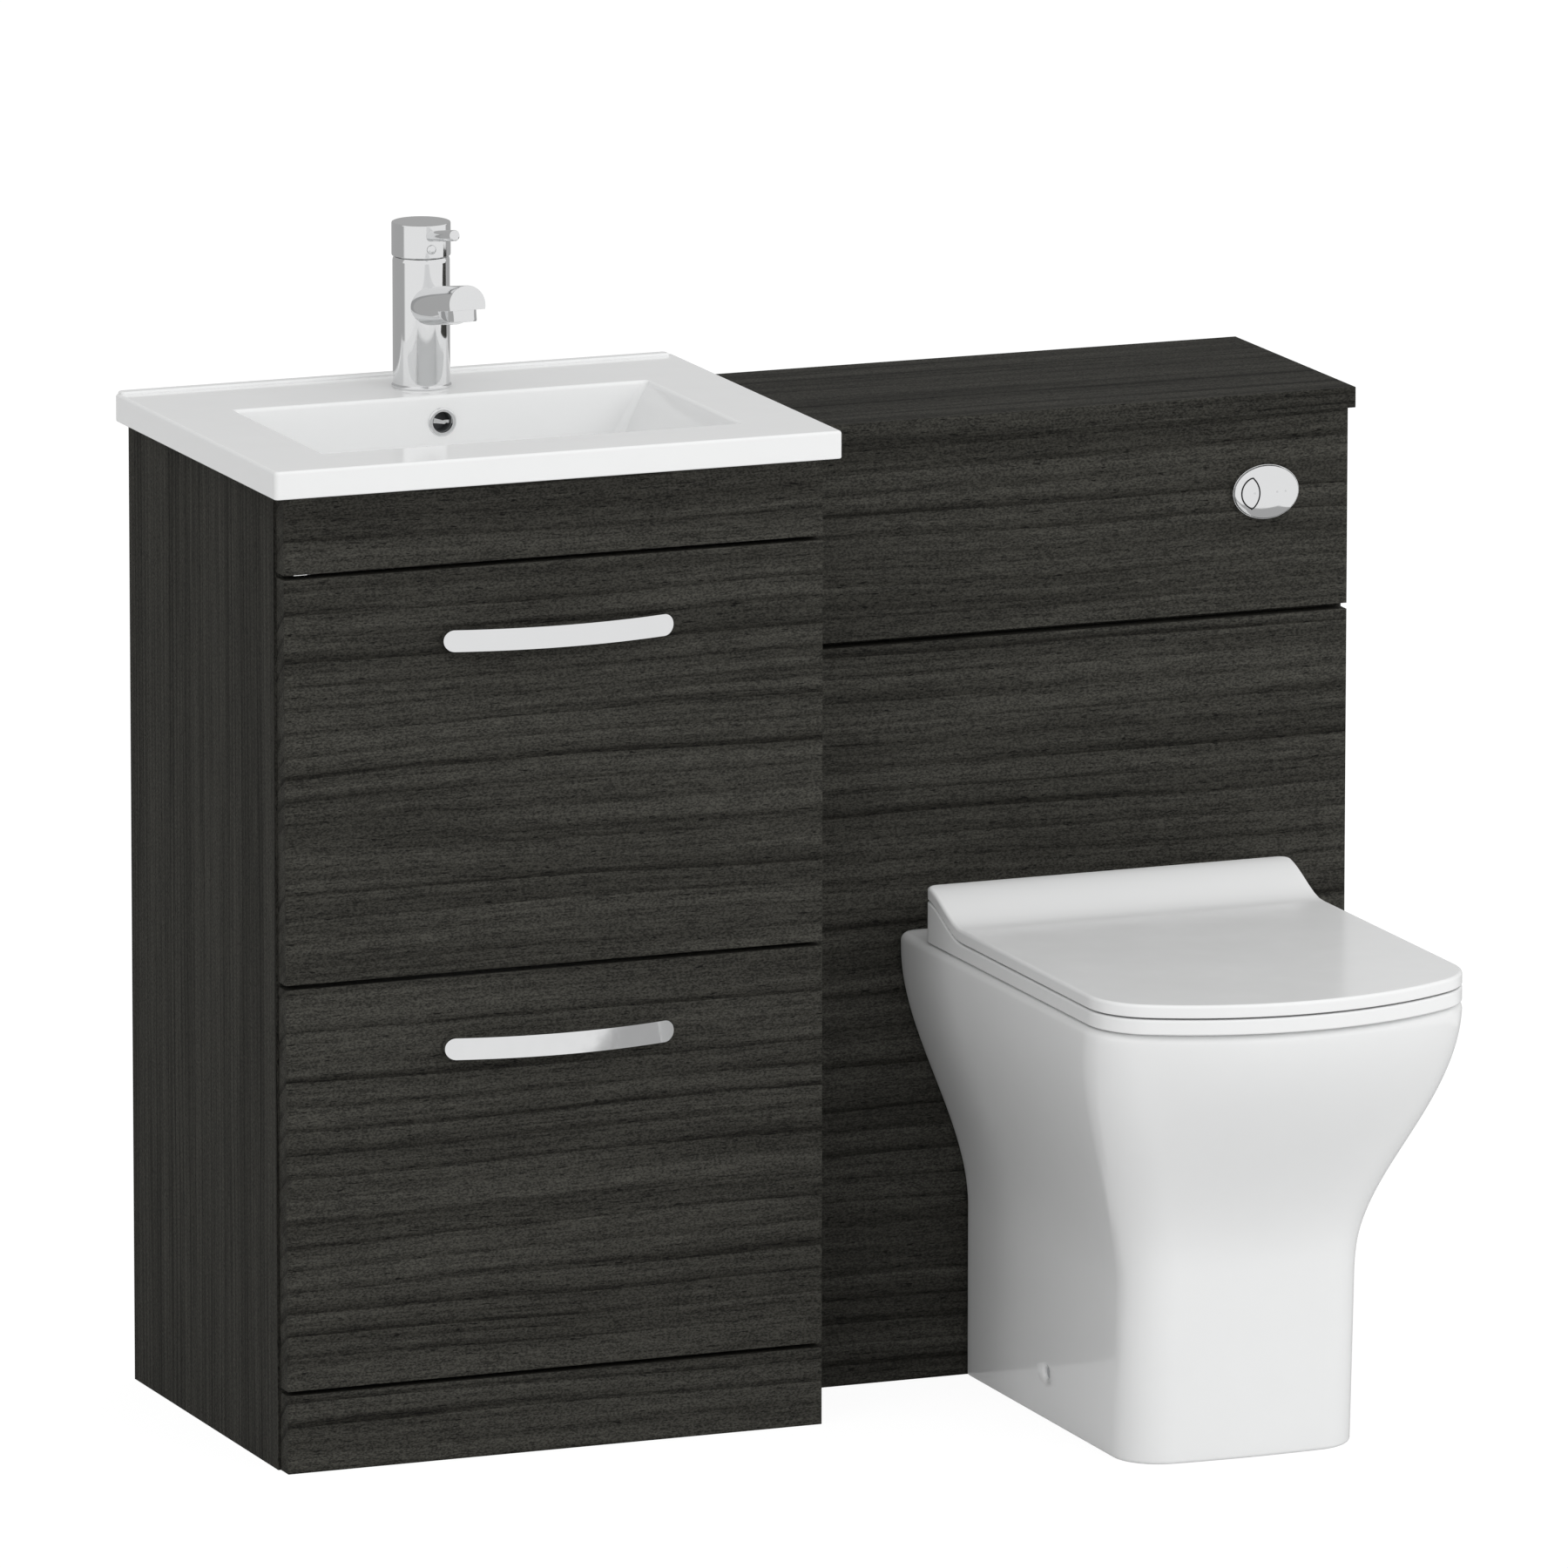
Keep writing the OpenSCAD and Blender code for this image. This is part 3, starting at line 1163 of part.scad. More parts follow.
place() vanity_side_left();
place() vanity_side_right();
place() vanity_base();
place() vanity_back_rails();
place() vanity_top_front();
place() vanity_plinth();
place() basin();
place() overflow_ring();
place() waste_body();
place() waste_plug();
place() bottle_trap();
place() tap_body();
place() tap_aerator();
place() tap_cartridge();
place() tap_fixing();
place() tap_stem();
place() tap_cap();
place() tap_lever();
place() tap_indicator();
place() upper_drawer_front();
place() upper_drawer_box();
place() upper_drawer_base();
place() upper_handle();
place() upper_handle_screws();
place() upper_runner_outers();
place() upper_runner_mids();
place() upper_runner_inners();
place() lower_drawer_front();
place() lower_drawer_box();
place() lower_drawer_base();
place() lower_handle();
place() lower_handle_screws();
place() lower_runner_outers();
place() lower_runner_mids();
place() lower_runner_inners();
place() wc_side_left();
place() wc_side_right();
place() wc_rails();
place() wc_lower_fascia();
place() wc_upper_fascia();
place() wc_worktop();
place() cistern_tank();
place() cistern_lid();
place() fill_valve();
place() fill_float();
place() flush_valve();
place() flush_bell();
place() flush_pipe();
place() flush_collar();
place() flush_full_button();
place() flush_half_button();
place() pan();
place() soil_connector();
place() pan_fixings();
place() seat_hinges();
place() seat();
place() seat_buffers();
place() lid();
place() lid_buffers();
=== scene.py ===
"""Looks of the toilet and basin combination unit, built round its packed frame."""

import json
import math

import bmesh
import bpy
from mathutils import Matrix, Vector


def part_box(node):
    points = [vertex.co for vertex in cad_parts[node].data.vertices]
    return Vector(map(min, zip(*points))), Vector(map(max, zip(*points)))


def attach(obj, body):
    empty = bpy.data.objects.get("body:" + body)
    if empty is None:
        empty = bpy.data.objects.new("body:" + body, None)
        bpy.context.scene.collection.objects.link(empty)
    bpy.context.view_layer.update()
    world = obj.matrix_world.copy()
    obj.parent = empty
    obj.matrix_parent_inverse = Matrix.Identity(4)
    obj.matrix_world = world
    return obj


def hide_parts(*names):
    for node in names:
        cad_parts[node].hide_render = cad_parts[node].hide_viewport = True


bl_info = {
    "name": "Toilet and Basin Unit",
    "version": (1, 0, 0),
    "blender": (4, 5, 0),
    "location": "3D View > Sidebar > Bathroom Unit",
    "description": "Dresses a toilet and basin combination unit with its boards, ceramics and fittings",
    "category": "Add Mesh",
}

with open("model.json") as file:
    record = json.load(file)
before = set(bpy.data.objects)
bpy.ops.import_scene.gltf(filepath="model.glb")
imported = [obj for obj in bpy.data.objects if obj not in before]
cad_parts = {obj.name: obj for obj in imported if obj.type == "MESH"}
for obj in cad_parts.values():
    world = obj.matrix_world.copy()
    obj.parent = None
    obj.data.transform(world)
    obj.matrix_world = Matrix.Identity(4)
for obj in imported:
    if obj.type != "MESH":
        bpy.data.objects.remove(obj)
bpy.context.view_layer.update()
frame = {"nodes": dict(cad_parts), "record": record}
SLOT = {part["node"]: part["material_slot"] for part in frame["record"]["subparts"]}
BODY = {node: body for body, nodes in frame["record"]["behaviour"]["bodies"].items() for node in nodes}

MM = 0.001
UP = Vector((0, 0, 1))
OUT = Vector((0, -1, 0))       # from the wall into the room


# ---------------------------------------------------------------- sizes and colours
def length(title, text, default, low=0.0, high=0.1):
    return bpy.props.FloatProperty(name=title, description=text, default=default, min=low, max=high,
                                   precision=4, subtype="DISTANCE", unit="LENGTH")


def colour(title, text, default):
    return bpy.props.FloatVectorProperty(name=title, description=text, default=default, size=3, min=0.0,
                                         max=1.0, subtype="COLOR")


def amount(title, text, default, low=0.0, high=1.0):
    return bpy.props.FloatProperty(name=title, description=text, default=default, min=low, max=high,
                                   subtype="FACTOR" if high <= 1 else "NONE")


class UnitFinishes(bpy.types.PropertyGroup):
    """Colours and surface grades of the unit"""

    grain_light: colour("Grain, light", "Light bands of the charcoal laminate", (0.0455, 0.0442, 0.0382))
    grain_dark: colour("Grain, dark", "Dark bands of the charcoal laminate", (0.0140, 0.0134, 0.0110))
    box_board: colour("Drawer board", "Melamine of the drawer boxes", (0.56, 0.57, 0.58))
    glaze: colour("Glaze", "White glaze of the basin and the pan", (0.83, 0.835, 0.835))
    seat_white: colour("Seat", "White moulding of the seat and the lid", (0.83, 0.835, 0.835))
    chrome: colour("Chrome", "Tint of the chrome plating", (0.80, 0.805, 0.81))
    band_height: length("Band height", "Usual height of a grain band", 0.020, 0.004, 0.05)
    pores: amount("Pores", "How many dark pores the grain shows", 0.5)


class BoardSizes(bpy.types.PropertyGroup):
    """Edges of the cabinet's boards"""

    edge: length("Edge", "Rounding of a board's edges", 0.0004, 0.0002, 0.003)


class HandleSizes(bpy.types.PropertyGroup):
    """Bowed strap handles"""

    thickness: length("Thickness", "Thickness of the strap", 0.005, 0.002, 0.01)
    bow: length("Bow", "Outward bow at mid length", 0.0155, 0.0, 0.03)
    edge: length("Edge", "Rounding of the strap's edges", 0.0018, 0.0002, 0.002)


class BasinSizes(bpy.types.PropertyGroup):
    """Inset basin"""

    edge: length("Edge", "Rounding of the slab's edges", 0.0026, 0.001, 0.01)
    lip: length("Lip", "Rounding where the deck meets the bowl", 0.0035, 0.001, 0.01)
    floor_round: length("Floor rounding", "Rounding between the bowl's walls and floor", 0.014, 0.002, 0.03)


class TapSizes(bpy.types.PropertyGroup):
    """Mixer tap"""

    edge: length("Edge", "Rounding of the tap's edges", 0.0007, 0.0002, 0.002)
    slope: bpy.props.FloatProperty(name="Slope", description="Upward slope of the spout and the lever",
                                   default=math.radians(10), min=0, max=0.5, subtype="ANGLE")


class PanSizes(bpy.types.PropertyGroup):
    """Toilet pan, seat and lid"""

    rim_round: length("Rim rounding", "Rounding of the pan's rim", 0.007, 0.002, 0.012)
    waist: length("Waist", "Height at which the sides begin to flare", 0.150, 0.1, 0.2)
    lid_round: length("Lid rounding", "Rounding of the lid's upper edge", 0.003, 0.001, 0.005)


class StageSettings(bpy.types.PropertyGroup):
    """Studio round the unit"""

    front_light: amount("Front light", "Brightness of the studio in front of the unit", 1.16, 0.0, 3.0)
    back_light: amount("Back light", "Brightness of the studio behind the unit", 0.44, 0.0, 3.0)
    key_power: amount("Key power", "Power of the soft key lamp", 25.0, 0.0, 1000.0)
    bright_mirror: amount("Front in mirrors", "How bright polished parts show the room in front", 0.90, 0.0, 1.0)
    dim_mirror: amount("Back in mirrors", "How bright polished parts show the room behind", 0.42, 0.0, 1.0)


GROUPS = {"unit_finishes": UnitFinishes, "unit_boards": BoardSizes, "unit_handles": HandleSizes,
          "unit_basin": BasinSizes, "unit_tap": TapSizes, "unit_pan": PanSizes, "unit_stage": StageSettings}


# ---------------------------------------------------------------- node trees
def put(tree, kind, inputs=None, **settings):
    """Adds a node, sets it, and joins or fills its inputs."""
    node = tree.nodes.new(kind)
    for key, value in settings.items():
        setattr(node, key, value)
    for key, value in (inputs or {}).items():
        socket = node.inputs[key]
        if isinstance(value, bpy.types.NodeSocket):
            tree.links.new(value, socket)
        else:
            socket.default_value = value
    return node


def calc(tree, operation, *values):
    node = put(tree, "ShaderNodeMath", dict(enumerate(values)), operation=operation)
    return node.outputs[0]


def stretched(tree, vector, scale):
    return put(tree, "ShaderNodeVectorMath", {0: vector, 1: scale}, operation="MULTIPLY").outputs[0]


def noise(tree, vector, scale=1.0, detail=2.0, roughness=0.5, distortion=0.0):
    return put(tree, "ShaderNodeTexNoise", {"Vector": vector, "Scale": scale, "Detail": detail,
                                            "Roughness": roughness, "Distortion": distortion}).outputs[0]


def ramp(tree, value, low, high, to_low=0.0, to_high=1.0, soft=True):
    return put(tree, "ShaderNodeMapRange", {"Value": value, "From Min": low, "From Max": high,
                                            "To Min": to_low, "To Max": to_high},
               interpolation_type="SMOOTHSTEP" if soft else "LINEAR").outputs[0]


def blended(tree, share, a, b):
    """Mixes two colours."""
    return put(tree, "ShaderNodeMix", {0: share, 6: a, 7: b}, data_type="RGBA").outputs[2]


def new_group(name, kind, inputs, outputs):
    tree = bpy.data.node_groups.new(name, kind)
    for title, socket, default in inputs:
        made = tree.interface.new_socket(name=title, in_out="INPUT", socket_type=socket)
        if default is not None:
            made.default_value = default
    for title, socket in outputs:
        tree.interface.new_socket(name=title, in_out="OUTPUT", socket_type=socket)
    return tree, tree.nodes.new("NodeGroupInput").outputs, tree.nodes.new("NodeGroupOutput").inputs


def charcoal_grain():
    """Laminate grain along X: wavy bands with one sharp edge, fibres, speckle and short dark pores."""
    tree, into, out = new_group(
        "Charcoal grain", "ShaderNodeTree",
        [("Vector", "NodeSocketVector", None), ("Light band", "NodeSocketColor", (0.04, 0.04, 0.036, 1)),
         ("Dark band", "NodeSocketColor", (0.02, 0.02, 0.018, 1)), ("Band height", "NodeSocketFloat", 0.02),
         ("Pores", "NodeSocketFloat", 0.5)],
        [("Color", "NodeSocketColor"), ("Roughness", "NodeSocketFloat"), ("Height", "NodeSocketFloat")])
    place = put(tree, "ShaderNodeSeparateXYZ", {0: into["Vector"]}).outputs
    across = calc(tree, "ADD", place[2], calc(tree, "MULTIPLY", place[1], 0.8))
    drift = noise(tree, stretched(tree, into["Vector"], (1.7, 7, 7)), 1.0, 2.0, 0.4)
    wander = calc(tree, "MULTIPLY", calc(tree, "SUBTRACT", drift, 0.5), 0.026)
    bent = put(tree, "ShaderNodeCombineXYZ",
               {0: place[0], 1: place[1], 2: calc(tree, "ADD", place[2], wander)}).outputs[0]

    def saw(height):
        """Which band a point is in, and how far it is from the band's sharp edge."""
        level = calc(tree, "DIVIDE", calc(tree, "ADD", across, wander), height)
        chance = put(tree, "ShaderNodeTexWhiteNoise", {"W": calc(tree, "FLOOR", level)}, noise_dimensions="1D")
        return calc(tree, "FRACT", level), chance.outputs["Value"]

    def streaks(along, over, detail, roughness):
        """Noise drawn out along the grain; along and over are its repeats in a metre each way."""
        return noise(tree, stretched(tree, bent, (along, over, over)), 1.0, detail, roughness)

    wide, wide_chance = saw(into["Band height"])
    thin, thin_chance = saw(calc(tree, "MULTIPLY", into["Band height"], 0.43))
    fade = streaks(6, 22, 1.0, 0.5)
    shade = calc(tree, "MULTIPLY", ramp(tree, wide, 0.42, 0.0), ramp(tree, wide_chance, 0.0, 0.8, 0.25, 1.0))
    streak = calc(tree, "MULTIPLY", calc(tree, "MULTIPLY", ramp(tree, thin, 0.6, 0.0), thin_chance),
                  ramp(tree, fade, 0.35, 0.6))
    layers = ramp(tree, streaks(1.5, 52, 5.0, 0.72), 0.38, 0.62)
    fibres = streaks(30, 560, 3.0, 0.65)
    speckle = noise(tree, stretched(tree, into["Vector"], (420, 820, 820)), 1.0, 1.0, 0.6)
    dashes = streaks(95, 700, 1.0, 0.4)
    depth = calc(tree, "ADD", calc(tree, "MULTIPLY", layers, 0.52),
                 calc(tree, "ADD", calc(tree, "MULTIPLY", shade, 0.56), calc(tree, "MULTIPLY", streak, 0.36)))
    limit = calc(tree, "SUBTRACT", 0.720, calc(tree, "MULTIPLY", into["Pores"], calc(tree, "MULTIPLY", depth, 0.20)))
    pores = ramp(tree, calc(tree, "SUBTRACT", dashes, limit), 0.0, 0.04)
    base = blended(tree, calc(tree, "MINIMUM", depth, 1.0), into["Light band"], into["Dark band"])
    lift = calc(tree, "ADD", calc(tree, "MULTIPLY", ramp(tree, fibres, 0.32, 0.68), 0.44),
                calc(tree, "MULTIPLY", ramp(tree, speckle, 0.34, 0.66), 0.80))
    lifted = put(tree, "ShaderNodeVectorMath", {0: base, 3: calc(tree, "ADD", lift, 0.38)}, operation="SCALE")
    tree.links.new(blended(tree, calc(tree, "MULTIPLY", pores, 0.85), lifted.outputs[0], (0.003, 0.003, 0.0026, 1)),
                   out["Color"])
    tree.links.new(ramp(tree, fibres, 0.3, 0.7, 0.70, 0.82), out["Roughness"])
    tree.links.new(calc(tree, "SUBTRACT", calc(tree, "MULTIPLY", fibres, 0.5), calc(tree, "MULTIPLY", pores, 0.6)),
                   out["Height"])
    return tree


def handling_marks():
    """Roughness of a wiped, used surface."""
    tree, into, out = new_group(
        "Handling marks", "ShaderNodeTree",
        [("Vector", "NodeSocketVector", None), ("Size", "NodeSocketFloat", 0.05),
         ("Low", "NodeSocketFloat", 0.1), ("High", "NodeSocketFloat", 0.2)],
        [("Roughness", "NodeSocketFloat")])
    scale = calc(tree, "DIVIDE", 1.0, into["Size"])
    cloud = noise(tree, into["Vector"], scale, 4.0, 0.6, 0.2)
    tree.links.new(ramp(tree, cloud, 0.3, 0.7, into["Low"], into["High"], soft=False), out["Roughness"])
    return tree


def moulded_skin():
    """Slow ripple and fine tone change of glaze, plastic or plating."""
    tree, into, out = new_group(
        "Moulded skin", "ShaderNodeTree",
        [("Vector", "NodeSocketVector", None), ("Tone", "NodeSocketColor", (0.8, 0.8, 0.8, 1)),
         ("Tone change", "NodeSocketFloat", 0.03), ("Ripple size", "NodeSocketFloat", 0.04),
         ("Grit size", "NodeSocketFloat", 0.001), ("Grit", "NodeSocketFloat", 0.0)],
        [("Color", "NodeSocketColor"), ("Height", "NodeSocketFloat")])
    slow = noise(tree, into["Vector"], calc(tree, "DIVIDE", 1.0, into["Ripple size"]), 2.0, 0.4)
    grit = noise(tree, into["Vector"], calc(tree, "DIVIDE", 1.0, into["Grit size"]), 2.0, 0.6)
    level = calc(tree, "ADD", 1.0, calc(tree, "MULTIPLY", calc(tree, "SUBTRACT", slow, 0.5), into["Tone change"]))
    tree.links.new(put(tree, "ShaderNodeVectorMath", {0: into["Tone"], 3: level}, operation="SCALE").outputs[0],
                   out["Color"])
    tree.links.new(calc(tree, "ADD", slow, calc(tree, "MULTIPLY", grit, into["Grit"])), out["Height"])
    return tree


def shared(name, build):
    return bpy.data.node_groups.get(name) or build()


def new_material(name):
    material = bpy.data.materials.new(name)
    material.use_nodes = True
    tree = material.node_tree
    tree.nodes.clear()
    shader = put(tree, "ShaderNodeBsdfPrincipled")
    put(tree, "ShaderNodeOutputMaterial", {"Surface": shader.outputs[0]})
    return material, tree, shader, put(tree, "ShaderNodeTexCoord").outputs["Object"]


def laminate(name, turn, level=1.0, band=1.0, fine=1.0):
    """Charcoal laminate; turn lays the grain along the board, band and fine narrow it; on the sides and the worktop a
    level below 1 darkens the colours as painted shade.
    """
    finishes = bpy.context.scene.unit_finishes
    material, tree, shader, coords = new_material(name)
    turned = put(tree, "ShaderNodeMapping", {"Vector": coords, "Rotation": turn, "Scale": (1, fine, 1)}).outputs[0]
    grain = put(tree, "ShaderNodeGroup", node_tree=shared("Charcoal grain", charcoal_grain))
    tree.links.new(turned, grain.inputs["Vector"])
    grain.inputs["Light band"].default_value = [level * c for c in finishes.grain_light] + [1]
    grain.inputs["Dark band"].default_value = [level * c for c in finishes.grain_dark] + [1]
    grain.inputs["Band height"].default_value = band * finishes.band_height
    grain.inputs["Pores"].default_value = finishes.pores
    tree.links.new(grain.outputs["Color"], shader.inputs["Base Color"])
    tree.links.new(grain.outputs["Roughness"], shader.inputs["Roughness"])
    shader.inputs["Specular IOR Level"].default_value = 0.10
    bump = put(tree, "ShaderNodeBump", {"Height": grain.outputs["Height"], "Strength": 0.5, "Distance": 0.0003})
    tree.links.new(bump.outputs[0], shader.inputs["Normal"])
    return material


def moulded(name, tone, low, high, metallic=0.0, ripple=0.04, depth=0.0002, marks=0.05, grit=0.0, grit_size=0.001,
            tone_change=0.03, level=0.5):
    """Glaze, plastic or metal with its own ripple, grit and handling marks."""
    material, tree, shader, coords = new_material(name)
    skin = put(tree, "ShaderNodeGroup", node_tree=shared("Moulded skin", moulded_skin))
    wear = put(tree, "ShaderNodeGroup", node_tree=shared("Handling marks", handling_marks))
    for group in (skin, wear):
        tree.links.new(coords, group.inputs["Vector"])
    for key, value in (("Tone", [*tone, 1]), ("Tone change", tone_change), ("Ripple size", ripple),
                       ("Grit size", grit_size), ("Grit", grit)):
        skin.inputs[key].default_value = value
    for key, value in (("Size", marks), ("Low", low), ("High", high)):
        wear.inputs[key].default_value = value
    tree.links.new(skin.outputs["Color"], shader.inputs["Base Color"])
    tree.links.new(wear.outputs["Roughness"], shader.inputs["Roughness"])
    shader.inputs["Metallic"].default_value = metallic
    shader.inputs["Specular IOR Level"].default_value = level
    bump = put(tree, "ShaderNodeBump", {"Height": skin.outputs["Height"], "Strength": 0.4, "Distance": depth})
    tree.links.new(bump.outputs[0], shader.inputs["Normal"])
    return material


FINISH = {
    "fronts": lambda f: laminate("Charcoal laminate, level grain", (0, 0, 0)),
    # Darker copy of the laminate (level 0.92): painted shade on the side boards, which face away from the light
    "sides": lambda f: laminate("Charcoal laminate, upright grain, painted shade", (0, math.radians(90), 0), 0.92, 0.6, 1.9),
    # Darker copy of the laminate (level 0.80): painted shade against the light that falls on the worktop's top
    "worktop": lambda f: laminate("Charcoal laminate, worktop, painted shade", (0, 0, 0), 0.80),
    "carcass": lambda f: laminate("Charcoal carcass board", (0, 0, 0), 0.95),
    "drawer_board": lambda f: moulded("Pale melamine", f.box_board, 0.42, 0.55, ripple=0.02, depth=0.0001,
                                      grit=0.6, grit_size=0.0012, tone_change=0.05),
    "glazed_ceramic": lambda f: moulded("White glaze", f.glaze, 0.06, 0.13, ripple=0.05, depth=0.00025,
                                        tone_change=0.02),
    "seat_plastic": lambda f: moulded("Seat moulding", f.seat_white, 0.13, 0.22, ripple=0.06, depth=0.0002,
                                      tone_change=0.02),
    "chrome": lambda f: moulded("Polished chrome", f.chrome, 0.03, 0.09, metallic=1.0, ripple=0.02,
                                depth=0.00002, marks=0.015, tone_change=0.02),
    "steel": lambda f: moulded("Zinc plate", (0.55, 0.56, 0.58), 0.28, 0.42, metallic=1.0, ripple=0.01,
                               depth=0.0001, marks=0.02, grit=0.5, grit_size=0.0008, tone_change=0.15),
    "brass": lambda f: moulded("Machined brass", (0.72, 0.55, 0.27), 0.2, 0.35, metallic=1.0, ripple=0.01,
                               depth=0.0001, marks=0.02, grit=0.4, grit_size=0.0008, tone_change=0.1),
    "white_plastic": lambda f: moulded("White plastic", (0.74, 0.75, 0.76), 0.32, 0.45, ripple=0.02,
                                       depth=0.0001, grit=0.4, grit_size=0.0009, tone_change=0.03),
    "dark_plastic": lambda f: moulded("Dark plastic", (0.1, 0.105, 0.11), 0.35, 0.5, ripple=0.02,
                                      depth=0.0001, grit=0.5, grit_size=0.0009, tone_change=0.08),
    "seal_rubber": lambda f: moulded("Seal rubber", (0.012, 0.012, 0.012), 0.6, 0.75, ripple=0.01,
                                     depth=0.0001, grit=0.5, grit_size=0.0006, tone_change=0.05, level=0.2),
    "buffer_rubber": lambda f: moulded("Buffer rubber", (0.62, 0.63, 0.64), 0.5, 0.65, ripple=0.01,
                                       depth=0.0001, grit=0.5, grit_size=0.0006, tone_change=0.05),
}
made_finishes = {}


def finish(name):
    if name not in made_finishes:
        made_finishes[name] = FINISH[name](bpy.context.scene.unit_finishes)
    return made_finishes[name]


# ---------------------------------------------------------------- mesh making
def lerp(a, b, t):
    return a + (b - a) * t


def smooth(t):
    u = min(1.0, max(0.0, t))
    return u * u * (3 - 2 * u)


def arc(cx, cy, r, start, end, steps):
    """Points on an arc, in degrees, both ends included."""
    angles = [math.radians(lerp(start, end, i / steps)) for i in range(steps + 1)]
    return [(cx + r * math.cos(a), cy + r * math.sin(a)) for a in angles]


def quarter_turn(step):
    """Angles of a quarter circle in radians, both ends included."""
    return [math.radians(a) for a in range(0, 91, step)]


def lower_edge(across, up=None, step=10):
    """Inset and rise of each point round a lower edge, from its foot to its side."""
    return [(across * (1 - math.sin(a)), (up or across) * (1 - math.cos(a))) for a in quarter_turn(step)]


def upper_edge(across, up=None, step=10):
    """Inset and fall of each point round an upper edge, from its side to its top."""
    return [(across * (1 - math.cos(a)), (up or across) * (1 - math.sin(a))) for a in quarter_turn(step)]


def loft(bm, rings, first="fan", last="fan"):
    """Skin through rings of points. A ladder end is strips across X, so that it can follow a curve along Y."""
    rows = [[bm.verts.new(p) for p in ring] for ring in rings]
    count = len(rows[0])
    for low, high in zip(rows, rows[1:]):
        for i in range(count):
            k = (i + 1) % count
            bm.faces.new((low[i], low[k], high[k], high[i]))
    for row, kind, turn in ((rows[0], first, True), (rows[-1], last, False)):
        if kind == "fan":
            bm.faces.new(row[::-1] if turn else row)
        elif kind == "ladder":
            for i in range(count // 2 - 1):
                quad = (row[i], row[i + 1], row[count - 2 - i], row[count - 1 - i])
                bm.faces.new(quad if turn else quad[::-1])
    if first == "join":
        for i in range(count):
            k = (i + 1) % count
            bm.faces.new((rows[-1][i], rows[-1][k], rows[0][k], rows[0][i]))
    return bm


def lathe(bm, profile, place, segments=96):
    """Solid of revolution of (radius, height) points about the Z axis of place, from one end to the other."""
    rings = [[place @ Vector((r * math.cos(a), r * math.sin(a), h))
              for a in (2 * math.pi * i / segments for i in range(segments))]
             for r, h in profile if r > 1e-7]
    start = profile[0][0] <= 1e-7
    end = profile[-1][0] <= 1e-7
    return loft(bm, rings, "fan" if start else "join", "fan" if end else None)


def linked(name, data):
    """A new object in the scene."""
    item = bpy.data.objects.new(name, data)
    bpy.context.scene.collection.objects.link(item)
    return item


def evaluated(item):
    """A new mesh of an object as its modifiers leave it."""
    bpy.context.view_layer.update()
    return bpy.data.meshes.new_from_object(item.evaluated_get(bpy.context.evaluated_depsgraph_get()))


def as_mesh(bm):
    """A new mesh from a bmesh, which is used up."""
    mesh = bpy.data.meshes.new("work")
    bm.to_mesh(mesh)
    bm.free()
    return mesh


def mesh_of(build):
    """A mesh from a function that fills a bmesh."""
    bm = bmesh.new()
    build(bm)
    bmesh.ops.recalc_face_normals(bm, faces=bm.faces)
    return as_mesh(bm)


def lathed(profile, place, segments=96):
    return mesh_of(lambda bm: lathe(bm, profile, place, segments))


def axis_at(point, direction, turn=0.0):
    """A frame at point whose Z axis runs along direction."""
    return Matrix.Translation(point) @ Vector(direction).to_track_quat("Z", "Y").to_matrix().to_4x4() \
        @ Matrix.Rotation(turn, 4, "Z")


def wall_frame(point):
    """A frame at point: X runs along the wall, Y up it and Z into the room."""
    return Matrix.Translation(point) @ Matrix(((1, 0, 0), (0, 0, -1), (0, 1, 0))).to_4x4()


def rod(point, direction, radius, size, segments=96):
    return lathed([(0, 0), (radius, 0), (radius, size), (0, size)], axis_at(point, direction), segments)


def block(low, high):
    low, high = Vector(low), Vector(high)
    return mesh_of(lambda bm: bmesh.ops.create_cube(
        bm, size=1, matrix=Matrix.Translation((low + high) / 2) @ Matrix.Diagonal((*(high - low), 1))))


def drop(mesh):
    bpy.data.meshes.remove(mesh)


def joined(*meshes):
    """Separate closed shells as one mesh."""
    bm = bmesh.new()
    for mesh in meshes:
        bm.from_mesh(mesh)
        drop(mesh)
    return as_mesh(bm)


def carved(base, tool, operation="DIFFERENCE"):
    """Boolean of two meshes, which are used up."""
    pair = [linked("work", mesh) for mesh in (base, tool)]
    change = pair[0].modifiers.new("Carve", "BOOLEAN")
    change.operation, change.solver, change.object = operation, "EXACT", pair[1]
    result = evaluated(pair[0])
    for item, mesh in zip(pair, (base, tool)):
        bpy.data.objects.remove(item)
        drop(mesh)
    return result


def softened(mesh, width, angle=35.0, segments=2, merge=True):
    """Rounds every edge sharper than the angle."""
    bm = bmesh.new()
    bm.from_mesh(mesh)
    if merge:
        bmesh.ops.remove_doubles(bm, verts=bm.verts, dist=1e-6)
        bmesh.ops.dissolve_limit(bm, angle_limit=math.radians(0.5), verts=bm.verts, edges=bm.edges)
    sharp = [e for e in bm.edges if len(e.link_faces) == 2 and e.calc_face_angle(0) > math.radians(angle)]
    bmesh.ops.bevel(bm, geom=sharp, offset=width, offset_type="OFFSET", segments=segments, profile=0.5,
                    affect="EDGES", clamp_overlap=True)
    bm.to_mesh(mesh)
    bm.free()
    return mesh


def node_copy(*names):
    """Merged copy of CAD nodes' meshes."""
    bm = bmesh.new()
    for name in names:
        bm.from_mesh(frame["nodes"][name].data)
    bmesh.ops.remove_doubles(bm, verts=bm.verts, dist=1e-6)
    mesh = as_mesh(bm)
    for layer in list(mesh.uv_layers):
        mesh.uv_layers.remove(layer)
    return mesh


